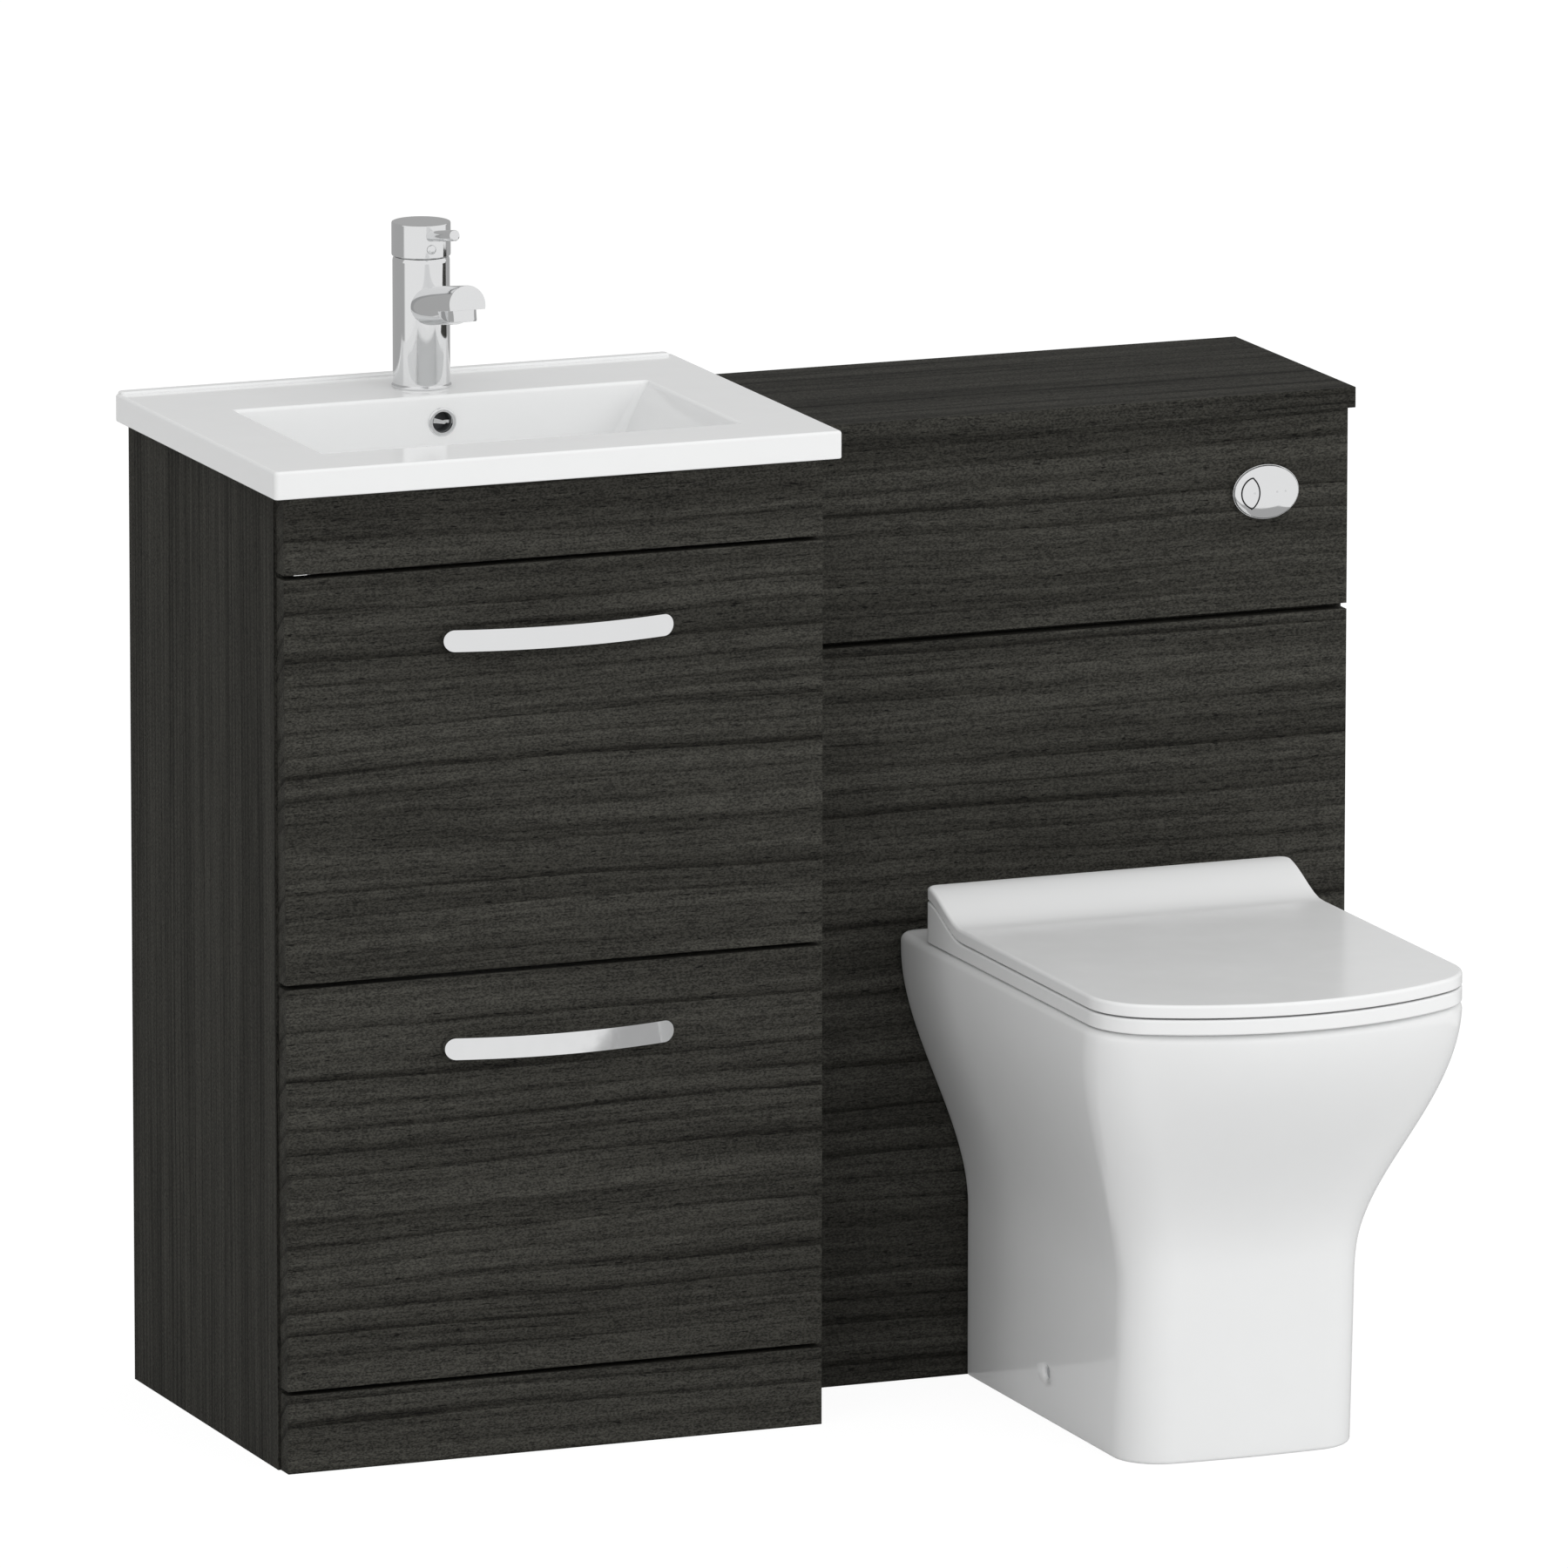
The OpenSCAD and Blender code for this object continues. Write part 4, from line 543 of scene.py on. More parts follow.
def piece(name, mesh, look, node, *others, angle=32.0, weighted=True):
    """Makes a mesh a finished piece that stands for its node and rides on that node's body."""
    mesh.name = name
    mesh.materials.clear()
    mesh.materials.append(finish(look))
    mesh.shade_smooth()
    mesh.set_sharp_from_angle(angle=math.radians(angle))
    made = linked(name, mesh)
    if weighted:
        even = made.modifiers.new("Even shading", "WEIGHTED_NORMAL")
        even.keep_sharp = True
    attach(made, BODY[node])
    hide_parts(node, *others)
    return made


def eased(name, node, look, width):
    """A piece that is its CAD node with softened edges."""
    return piece(name, softened(node_copy(node), width, 40), look, node)


# ---------------------------------------------------------------- geometry node trees
def evaluated_tree(name, tree, values, material):
    """Runs a geometry tree once and returns the plain mesh that it makes."""
    holder = linked(name, bpy.data.meshes.new(name))
    change = holder.modifiers.new(name, "NODES")
    change.node_group = tree
    sockets = {item.name: item.identifier for item in tree.interface.items_tree
               if item.item_type == "SOCKET" and item.in_out == "INPUT"}
    for key, value in {**values, "Material": material}.items():
        change[sockets[key]] = value
    mesh = evaluated(holder)
    holder.modifiers.remove(change)
    start = holder.data
    bpy.data.objects.remove(holder)
    drop(start)
    return mesh


def ended(tree, geometry, into, out):
    """Ends a geometry tree with real meshes in its material."""
    real = put(tree, "GeometryNodeRealizeInstances", {"Geometry": geometry}).outputs[0]
    painted = put(tree, "GeometryNodeSetMaterial", {"Geometry": real, "Material": into["Material"]}).outputs[0]
    tree.links.new(painted, out["Geometry"])
    return tree


def bow_handle_tree():
    """Strap with round ends, bent to a bow along X and raised along -Y from two feet."""
    tree, into, out = new_group(
        "Bow handle", "GeometryNodeTree",
        [("Geometry", "NodeSocketGeometry", None), ("Centre", "NodeSocketVector", None),
         ("Length", "NodeSocketFloat", 0.2), ("Height", "NodeSocketFloat", 0.02), ("Bow", "NodeSocketFloat", 0.015),
         ("Thickness", "NodeSocketFloat", 0.005), ("Foot", "NodeSocketFloat", 0.004),
         ("Centres", "NodeSocketFloat", 0.18), ("Material", "NodeSocketMaterial", None)],
        [("Geometry", "NodeSocketGeometry")])
    grid = put(tree, "GeometryNodeMeshGrid", {"Size X": 2.0, "Size Y": 2.0, "Vertices X": 121, "Vertices Y": 13})
    spot = put(tree, "ShaderNodeSeparateXYZ", {0: put(tree, "GeometryNodeInputPosition").outputs[0]}).outputs
    half = calc(tree, "MULTIPLY", into["Length"], 0.5)
    end = calc(tree, "MULTIPLY", into["Height"], 0.5)
    x = calc(tree, "MULTIPLY", half, calc(tree, "SINE", calc(tree, "MULTIPLY", spot[0], math.pi / 2)))
    past = calc(tree, "MAXIMUM", 0.0, calc(
        tree, "SUBTRACT", calc(tree, "ABSOLUTE", x), calc(tree, "SUBTRACT", half, end)))
    reach = calc(tree, "SQRT", calc(tree, "MAXIMUM", 0.0, calc(
        tree, "SUBTRACT", calc(tree, "MULTIPLY", end, end), calc(tree, "MULTIPLY", past, past))))
    z = calc(tree, "MULTIPLY", spot[1], reach)
    radius = calc(tree, "DIVIDE", calc(tree, "ADD", calc(tree, "MULTIPLY", half, half), calc(
        tree, "MULTIPLY", into["Bow"], into["Bow"])), calc(tree, "MULTIPLY", into["Bow"], 2.0))
    rise = calc(tree, "SUBTRACT", calc(tree, "SQRT", calc(
        tree, "SUBTRACT", calc(tree, "MULTIPLY", radius, radius), calc(tree, "MULTIPLY", x, x))),
        calc(tree, "SUBTRACT", radius, into["Bow"]))
    outside = calc(tree, "ADD", calc(tree, "ADD", into["Foot"], into["Thickness"]), rise)

    def sheet(depth):
        place = put(tree, "ShaderNodeCombineXYZ", {0: x, 1: calc(tree, "MULTIPLY", depth, -1.0), 2: z}).outputs[0]
        return put(tree, "GeometryNodeSetPosition", {"Geometry": grid.outputs[0], "Position": place}).outputs[0]

    front = sheet(outside)
    back = sheet(calc(tree, "SUBTRACT", outside, into["Thickness"]))
    edge = put(tree, "GeometryNodeExtrudeMesh", {
        "Mesh": put(tree, "GeometryNodeMergeByDistance", {"Geometry": front, "Distance": 1e-5}).outputs[0],
        "Offset": put(tree, "ShaderNodeCombineXYZ", {1: into["Thickness"]}).outputs[0], "Offset Scale": 1.0,
        "Individual": False})
    kept = put(tree, "GeometryNodeDeleteGeometry", {"Geometry": edge.outputs[0], "Selection": edge.outputs["Top"]},
               domain="FACE").outputs[0]
    foot = put(tree, "GeometryNodeMeshCylinder", {
        "Vertices": 64, "Radius": calc(tree, "SUBTRACT", end, 0.0025),
        "Depth": calc(tree, "ADD", into["Foot"], into["Thickness"])})
    feet_points = put(tree, "GeometryNodeMeshLine", {
        "Count": 2, "Start Location": put(tree, "ShaderNodeCombineXYZ", {
            0: calc(tree, "MULTIPLY", into["Centres"], -0.5),
            1: calc(tree, "MULTIPLY", calc(tree, "ADD", into["Foot"], into["Thickness"]), -0.5)}).outputs[0],
        "Offset": put(tree, "ShaderNodeCombineXYZ", {0: into["Centres"]}).outputs[0]}, mode="OFFSET")
    feet = put(tree, "GeometryNodeInstanceOnPoints", {
        "Points": feet_points.outputs[0], "Instance": foot.outputs[0], "Rotation": (math.radians(90), 0, 0)})
    strap = put(tree, "GeometryNodeJoinGeometry")
    for part in (front, kept, put(tree, "GeometryNodeFlipFaces", {"Mesh": back}).outputs[0]):
        tree.links.new(part, strap.inputs[0])
    solid = put(tree, "GeometryNodeMergeByDistance", {"Geometry": strap.outputs[0], "Distance": 1e-5}).outputs[0]
    whole = put(tree, "GeometryNodeJoinGeometry")
    for part in (solid, feet.outputs[0]):
        tree.links.new(part, whole.inputs[0])
    placed = put(tree, "GeometryNodeTransform", {"Geometry": whole.outputs[0], "Translation": into["Centre"]})
    return ended(tree, placed.outputs[0], into, out)


def set_out_tree():
    """Copies of one fitting, set out at even steps along two directions."""
    tree, into, out = new_group(
        "Set out fittings", "GeometryNodeTree",
        [("Geometry", "NodeSocketGeometry", None), ("Fitting", "NodeSocketObject", None),
         ("First", "NodeSocketVector", None),
         ("Count across", "NodeSocketInt", 2), ("Across", "NodeSocketVector", None),
         ("Count along", "NodeSocketInt", 1), ("Along", "NodeSocketVector", None),
         ("Turn", "NodeSocketVector", None), ("Material", "NodeSocketMaterial", None)],
        [("Geometry", "NodeSocketGeometry")])
    row = put(tree, "GeometryNodeMeshLine", {"Count": into["Count across"], "Start Location": into["First"],
                                             "Offset": into["Across"]}, mode="OFFSET")
    column = put(tree, "GeometryNodeMeshLine", {"Count": into["Count along"], "Offset": into["Along"]}, mode="OFFSET")
    field = put(tree, "GeometryNodeInstanceOnPoints", {"Points": column.outputs[0], "Instance": row.outputs[0]})
    points = put(tree, "GeometryNodeRealizeInstances", {"Geometry": field.outputs[0]})
    info = put(tree, "GeometryNodeObjectInfo", {"Object": into["Fitting"]}, transform_space="ORIGINAL")
    turn = put(tree, "FunctionNodeEulerToRotation", {0: into["Turn"]})
    copies = put(tree, "GeometryNodeInstanceOnPoints", {
        "Points": points.outputs[0], "Instance": info.outputs["Geometry"], "Rotation": turn.outputs[0]})
    return ended(tree, copies.outputs[0], into, out)


def set_out(fitting, look, first, across=(0, 0, 0), count_across=1, along=(0, 0, 0), count_along=1, turn=(0, 0, 0)):
    """Sets out copies of a fitting's mesh, which is used up, and returns them as one mesh."""
    pattern = linked("work", fitting)
    mesh = evaluated_tree("Set out", shared("Set out fittings", set_out_tree), {
        "Fitting": pattern, "First": first, "Count across": count_across, "Across": across,
        "Count along": count_along, "Along": along, "Turn": turn}, finish(look))
    bpy.data.objects.remove(pattern)
    drop(fitting)
    return mesh


# ---------------------------------------------------------------- cabinets and drawers
def board(node, look, width=None):
    edge = width or bpy.context.scene.unit_boards.edge
    return piece(node + "_board", softened(node_copy(node), edge), look, node)


class UNIT_OT_cabinets(bpy.types.Operator):
    """Make the boards of both cabinets, with softened edges and laid grain"""

    bl_idname = "unit.cabinets"
    bl_label = "Cabinets"

    def execute(self, context):
        for node in ("vanity_side_left", "vanity_side_right", "wc_side_left", "wc_side_right"):
            board(node, "sides")
        for node in ("vanity_top_front", "vanity_plinth", "wc_lower_fascia", "wc_upper_fascia"):
            board(node, "fronts")
        board("wc_worktop", "worktop")
        for node in ("vanity_base", "vanity_back_rails", "wc_rails"):
            board(node, "carcass")
        return {"FINISHED"}


class UNIT_OT_drawers(bpy.types.Operator):
    """Make the drawer fronts, the drawer boxes and their runners"""

    bl_idname = "unit.drawers"
    bl_label = "Drawers"

    def execute(self, context):
        for level in ("upper", "lower"):
            board(level + "_drawer_front", "fronts")
            board(level + "_drawer_box", "drawer_board", 0.0006)
            board(level + "_drawer_base", "drawer_board", 0.0004)
            for member in ("outers", "mids", "inners"):
                board(f"{level}_runner_{member}", "steel", 0.0002)
        return {"FINISHED"}


def pan_head(radius, height):
    """Screw head with a crossed recess; its crown points along +Z from its seat at z 0."""
    side = 0.35       # straight share of the height
    crown = [(radius * math.cos(a), height * (side + (1 - side) * math.sin(a)))
             for a in (math.radians(d) for d in range(15, 90, 15))]
    head = lathed([(0, 0), (radius, 0), (radius, height * side)] + crown + [(0, height)], Matrix.Identity(4), 32)
    deep, thin = height * 0.45, radius * 0.09
    for wide, high in ((radius * 0.55, thin), (thin, radius * 0.55)):
        head = carved(head, block((-wide, -high, deep), (wide, high, height * 2)))
    return head


class UNIT_OT_handles(bpy.types.Operator):
    """Make the bowed strap handles and the screws that hold them"""

    bl_idname = "unit.handles"
    bl_label = "Handles"

    def execute(self, context):
        sizes = context.scene.unit_handles
        head_r, head_h, shank_r = 0.004, 0.002, 0.002
        for level in ("upper", "lower"):
            low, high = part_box(level + "_handle")
            screws_low, screws_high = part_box(level + "_handle_screws")
            centres = screws_high.x - screws_low.x - 2 * head_r
            middle = (low + high) / 2
            foot = (high.y - low.y) - sizes.thickness - sizes.bow
            strap = evaluated_tree(level + "_strap", shared("Bow handle", bow_handle_tree), {
                "Centre": (middle.x, high.y, middle.z), "Length": high.x - low.x, "Height": high.z - low.z,
                "Bow": sizes.bow, "Thickness": sizes.thickness, "Foot": foot, "Centres": centres}, finish("chrome"))
            softened(strap, sizes.edge, 50, 3, merge=False)
            piece(level + "_bow_handle", strap, "chrome", level + "_handle")
            shank_len = screws_high.y - screws_low.y - head_h
            shank = lathed([(0, 0), (shank_r, 0), (shank_r, shank_len), (0, shank_len)],
                           Matrix.Translation((0, 0, -shank_len)), 24)
            screw = joined(pan_head(head_r, head_h), shank)
            row = set_out(screw, "steel", (middle.x - centres / 2, screws_high.y - head_h, middle.z),
                          (centres, 0, 0), 2, turn=(math.radians(-90), 0, 0))
            piece(level + "_handle_fixings", row, "steel", level + "_handle_screws")
        return {"FINISHED"}


# ---------------------------------------------------------------- basin and tap
def rounded_polygon(points, radius, steps):
    """Outline with each corner rounded by an arc; short edges limit the radius."""
    made = []
    count = len(points)
    for i in range(count):
        here, before, after = (Vector(points[k % count]) for k in (i, i - 1, i + 1))
        a, b = (before - here), (after - here)
        bend = a.angle(b)
        reach = min(radius / math.tan(bend / 2), 0.45 * a.length, 0.45 * b.length)
        start, end = here + a.normalized() * reach, here + b.normalized() * reach
        r = reach * math.tan(bend / 2)
        centre = here + (a.normalized() + b.normalized()).normalized() * (r / math.sin(bend / 2))
        for k in range(steps + 1):
            spot = start.lerp(end, k / steps) - centre
            made.append(centre + spot.normalized() * r)
    return made


BOWL = {"length": 0.374, "width": 0.213, "back": 0.112, "depth": 0.110, "end_draft": 0.062, "side_draft": 0.010,
        "wall_draft": 0.006, "front_draft": 0.014, "break": 0.82, "ceramic": 0.012}


def bowl_outline(share, grow, z, radius):
    """Plan of the bowl at a share of its depth: straight ends at the front, cut back towards the wall."""
    low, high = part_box("basin")
    middle = (low.x + high.x) / 2
    back = 0.0 - BOWL["back"] - BOWL["wall_draft"] * share + grow
    front = -BOWL["back"] - BOWL["width"] + BOWL["front_draft"] * share - grow
    rear_half = BOWL["length"] / 2 - BOWL["end_draft"] * share + grow
    front_half = BOWL["length"] / 2 - BOWL["side_draft"] * share + grow
    bend = lerp(back, front, BOWL["break"])
    plan = [(-rear_half, back), (-front_half, bend), (-front_half, front), (front_half, front), (front_half, bend),
            (rear_half, back)]
    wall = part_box("vanity_side_left")[1].y
    return [(middle + x, wall + y, z) for x, y in rounded_polygon(plan, radius, 5)]


class UNIT_OT_basin(bpy.types.Operator):
    """Make the inset basin, its overflow, waste and trap"""

    bl_idname = "unit.basin"
    bl_label = "Basin"

    def execute(self, context):
        sizes = context.scene.unit_basin
        low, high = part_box("basin")
        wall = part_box("vanity_side_left")[1].y
        slab_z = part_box("vanity_side_left")[1].z
        ledge_w = 0.012
        deck = high.z - 0.0025
        floor = deck - BOWL["depth"]
        edge = sizes.edge

        def slab_outline(inset, z):
            corners = [(low.x + inset, low.y + inset), (high.x - inset, low.y + inset),
                       (high.x - inset, wall - inset), (low.x + inset, wall - inset)]
            return [(x, y, z) for x, y in rounded_polygon(corners, 0.0035 - inset * 0.5, 8)]

        turn = quarter_turn(15)
        rings = [slab_outline(inset, slab_z + rise) for inset, rise in lower_edge(0.0012, step=15)]
        rings += [slab_outline(inset, deck - fall) for inset, fall in upper_edge(edge, step=15)]
        slab = mesh_of(lambda bm: loft(bm, rings))

        def ledge_outline(inset, z):
            left, right = low.x + 0.002 + inset, high.x - 0.006 - inset
            near, far = wall - ledge_w + inset, wall - 0.0004 - inset
            corners = [(left, near), (right, near), (right, far), (left, far)]
            return [(x, y, z) for x, y in rounded_polygon(corners, 0.003, 6)]

        lip = 0.002
        ledge_rings = [ledge_outline(0, deck - 0.004), ledge_outline(0, deck + 0.0002)]
        ledge_rings += [ledge_outline(inset, high.z - fall) for inset, fall in upper_edge(lip, step=15)]
        basin = carved(slab, mesh_of(lambda bm: loft(bm, ledge_rings)), "UNION")

        def pocket(grow, lip_round, floor_round, top):
            steps, low_corner, top_corner = 14, 0.016, 0.004
            made = [bowl_outline(1, grow - inset, floor - grow + rise, low_corner)
                    for inset, rise in lower_edge(floor_round, step=15)]
            foot, rest = floor - grow + floor_round, deck - lip_round
            for k in range(1, steps):
                z = lerp(foot, rest, k / steps)
                share = 1 - (z - floor) / BOWL["depth"]
                made.append(bowl_outline(share, grow, z, lerp(low_corner, top_corner, k / steps)))
            if lip_round:
                made += [bowl_outline(0, lip_round * (1 - math.cos(a)), rest + lip_round * math.sin(a), top_corner)
                         for a in turn]
            made.append(bowl_outline(0, grow + lip_round, top, top_corner))
            return mesh_of(lambda bm: loft(bm, made))

        basin = carved(basin, pocket(BOWL["ceramic"], 0, 0.02, slab_z + 0.004), "UNION")
        basin = carved(basin, pocket(0, sizes.lip, sizes.floor_round, deck + 0.002))
        middle = (low.x + high.x) / 2
        body_low, body_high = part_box("waste_body")
        waste = Vector((middle, (body_low.y + body_high.y) / 2, 0))
        flange = (body_high.x - body_low.x) / 2
        tail, fit = flange - 0.010, 0.0005
        tap_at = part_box("tap_cartridge")
        tap = Vector((middle, (tap_at[0].y + tap_at[1].y) / 2, 0))
        ring_low, ring_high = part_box("overflow_ring")
        overflow = Vector((middle, wall - BOWL["back"] + 0.02, (ring_low.z + ring_high.z) / 2))
        for tool in (rod(waste + UP * (floor - 0.003), UP, flange + fit, 0.02),
                     rod(waste + UP * (floor - 0.02), UP, tail + fit, 0.04),
                     rod(tap + UP * (slab_z - 0.01), UP, 0.0175, 0.05),
                     rod(overflow, OUT, 0.009, 0.04)):
            basin = carved(basin, tool)
        piece("basin_glazed", basin, "glazed_ceramic", "basin", angle=38)

        ring_y = ring_high.y
        seat = axis_at((middle, ring_y, overflow.z), OUT)
        ring = lathed([(0.0088, 0), (0.0126, 0)] + [(0.0104 + 0.0022 * math.cos(a), 0.0012 + 0.0012 * math.sin(a))
                                                    for a in turn] + [(0.0091, 0.0022), (0.0088, 0.0016)], seat)
        level = wall_frame((middle, ring_y, overflow.z))

        def bar(start, end, wide, narrow, depth, slope):
            """Flat tapered bar with one round end, across the hole; wide and narrow are its half widths."""
            tip = [(end + narrow * math.cos(a), narrow * math.sin(a))
                   for a in (math.radians(d) for d in range(-90, 91, 18))]
            plan = [(start, wide), (start, -wide)] + tip
            place = level @ Matrix.Rotation(math.radians(slope), 4, "Z")
            return mesh_of(lambda bm: loft(bm, [[place @ Vector((x, y, z)) for x, y in plan]
                                                for z in (depth - 0.0012, depth)]))

        bars = (bar(-0.0083, 0.0018, 0.0022, 0.0013, 0.0014, -13),
                bar(-0.0083, -0.0030, 0.0014, 0.0011, -0.0028, 176))
        piece("overflow_trim", joined(ring, *bars), "chrome", "overflow_ring")
        cup = lathed([(0, 0.0120), (0.0084, 0.0120), (0.0084, 0), (0.0088, 0), (0.0088, 0.0125), (0, 0.0125)],
                     axis_at((middle, ring_y + 0.0005, overflow.z), -OUT), 64)
        piece("overflow_channel", cup, "dark_plastic", "overflow_ring")
        for node in ("waste_body", "waste_plug"):
            eased(node + "_turned", node, "chrome", 0.0004)
        eased("bottle_trap_moulded", "bottle_trap", "white_plastic", 0.0006)
        return {"FINISHED"}


class UNIT_OT_tap(bpy.types.Operator):
    """Make the mono mixer tap"""

    bl_idname = "unit.tap"
    bl_label = "Tap"

    def execute(self, context):
        sizes = context.scene.unit_tap
        body_low, body_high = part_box("tap_body")
        cap_low, cap_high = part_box("tap_cap")
        core_low, core_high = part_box("tap_cartridge")
        axis = (core_low + core_high) / 2
        base = Vector((axis.x, axis.y, body_low.z))
        radius, foot = 0.0245, (body_high.x - body_low.x) / 2
        neck_top = cap_low.z - body_low.z - 0.0003
        e = sizes.edge
        bend, shoulder = 0.0079, 0.0045       # radius of the shoulder's curve, and its height
        along = Vector((0, -math.cos(sizes.slope), math.sin(sizes.slope)))
        below = Vector((0, -math.sin(sizes.slope), -math.cos(sizes.slope)))
        body = lathed([(0, 0), (foot - 0.0004, 0), (foot, 0.0004), (foot, 0.0018), (foot - 0.0004, 0.0025),
                       (foot - 0.0010, 0.0029), (radius, 0.0034), (radius, neck_top - shoulder)]
                      + [(radius - bend * (1 - math.cos(a)), neck_top - shoulder + bend * math.sin(a))
                         for a in (0.1, 0.2, 0.3, 0.4, 0.5, 0.54)]
                      + [(radius - 0.0026, neck_top), (0, neck_top)], Matrix.Translation(base), 160)
        spout_r, spout_len, spout_z = 0.0165, 0.112, 0.069
        flat, flat_from, nozzle_at = 0.0045, 0.0817, 0.097       # flat under the spout's end, and its nozzle
        root = base + UP * spout_z
        tube = lathed([(0, 0), (spout_r, 0), (spout_r, spout_len - e), (spout_r - e * 0.3, spout_len - e * 0.3),
                       (spout_r - e, spout_len), (0, spout_len)], axis_at(root, along), 128)
        undercut = block((-0.03, -0.06, 0), (0.03, 0.06, 0.04))
        place = Matrix(((1, 0, 0), (0, along.y, below.y), (0, along.z, below.z))).to_4x4()
        undercut.transform(Matrix.Translation(root + along * (flat_from + 0.06) + below * flat) @ place)
        tube = carved(tube, undercut)
        softened(tube, e * 0.7, 50, 2, merge=False)
        body = carved(body, tube, "UNION")
        body = carved(body, rod(base - UP * 0.001, UP, 0.012, 0.041, 48))
        piece("tap_body_plated", body, "chrome", "tap_body", angle=28)

        nozzle = axis_at(root + along * nozzle_at + below * flat, below)
        aerator = lathed([(0, 0), (0.0123, 0), (0.0123, 0.0088), (0.0121, 0.0096), (0.0113, 0.01), (0.0102, 0.01),
                          (0.0098, 0.0096), (0.0098, 0.0072), (0, 0.0068)], nozzle, 96)
        mesh_slots = []
        slot_r, pitch, half_slot = 0.0088, 0.0024, 0.0004
        for k in range(-3, 4):
            wide = math.sqrt(slot_r ** 2 - (k * pitch) ** 2)
            slot = block((-wide, k * pitch - half_slot, 0.0062), (wide, k * pitch + half_slot, 0.009))
            slot.transform(nozzle)
            mesh_slots.append(slot)
        aerator = carved(aerator, joined(*mesh_slots))
        piece("tap_aerator_turned", aerator, "chrome", "tap_aerator")

        cap_r = (cap_high.x - cap_low.x) / 2
        cap_h = cap_high.z - cap_low.z
        cap = lathed([(0, 0), (cap_r - 0.0010, 0), (cap_r - 0.0003, 0.0003), (cap_r, 0.0010),
                      (cap_r, cap_h - 0.0012), (cap_r - 0.0003, cap_h - 0.0004), (cap_r - 0.0011, cap_h), (0, cap_h)],
                     Matrix.Translation((axis.x, axis.y, cap_low.z)), 160)
        side, top = 0.0022, 0.006       # thickness of the cap's side and top
        inside = Vector((axis.x, axis.y, cap_low.z - 0.001))
        cap = carved(cap, rod(inside, UP, cap_r - side, cap_h - top + 0.001, 96))
        lever_low, lever_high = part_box("tap_lever")
        lever_root = base + UP * (0.1425 - 0.0088 - 0.027 * math.tan(sizes.slope))
        spot_low, spot_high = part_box("tap_indicator")
        spot = (spot_low + spot_high) / 2
        cap = carved(cap, rod(lever_root, along, 0.0038, 0.04, 48))
        cap = carved(cap, rod(Vector((spot.x, axis.y - cap_r + 0.0012, spot.z)), OUT, 0.0042, 0.005, 48))
        piece("tap_cap_plated", cap, "chrome", "tap_cap", angle=28)

        lever_at = axis_at(lever_root, along)
        lever_r, lever_len = 0.0048, 0.0818
        lever = lathed([(0, cap_r - 0.0010), (lever_r, cap_r - 0.0010), (lever_r, 0.0806), (0.0045, 0.0814),
                        (0.0039, lever_len), (0, lever_len)], lever_at, 64)
        lever = carved(lever, rod(Vector((axis.x, axis.y, cap_low.z - 0.01)), UP, cap_r + 0.0001, cap_h + 0.02, 160))
        pin = rod(lever_root + along * (cap_r - 0.0045), along, 0.0037, 0.0085, 48)
        piece("tap_lever_turned", joined(lever, pin), "chrome", "tap_lever", angle=28)
        disc = lathed([(0, 0), (0.004, 0), (0.004, 0.0008)] + [
            (0.004 * math.cos(a), 0.0008 + 0.001 * math.sin(a)) for a in (0.3, 0.6, 0.9, 1.2, 1.4)] + [(0, 0.0018)],
            axis_at((spot.x, spot_high.y, spot.z), OUT), 48)
        piece("tap_indicator_disc", disc, "chrome", "tap_indicator", angle=60)
        eased("tap_cartridge_moulded", "tap_cartridge", "dark_plastic", 0.0006)
        eased("tap_stem_turned", "tap_stem", "steel", 0.0004)
        eased("tap_fixing_turned", "tap_fixing", "brass", 0.0004)
        return {"FINISHED"}


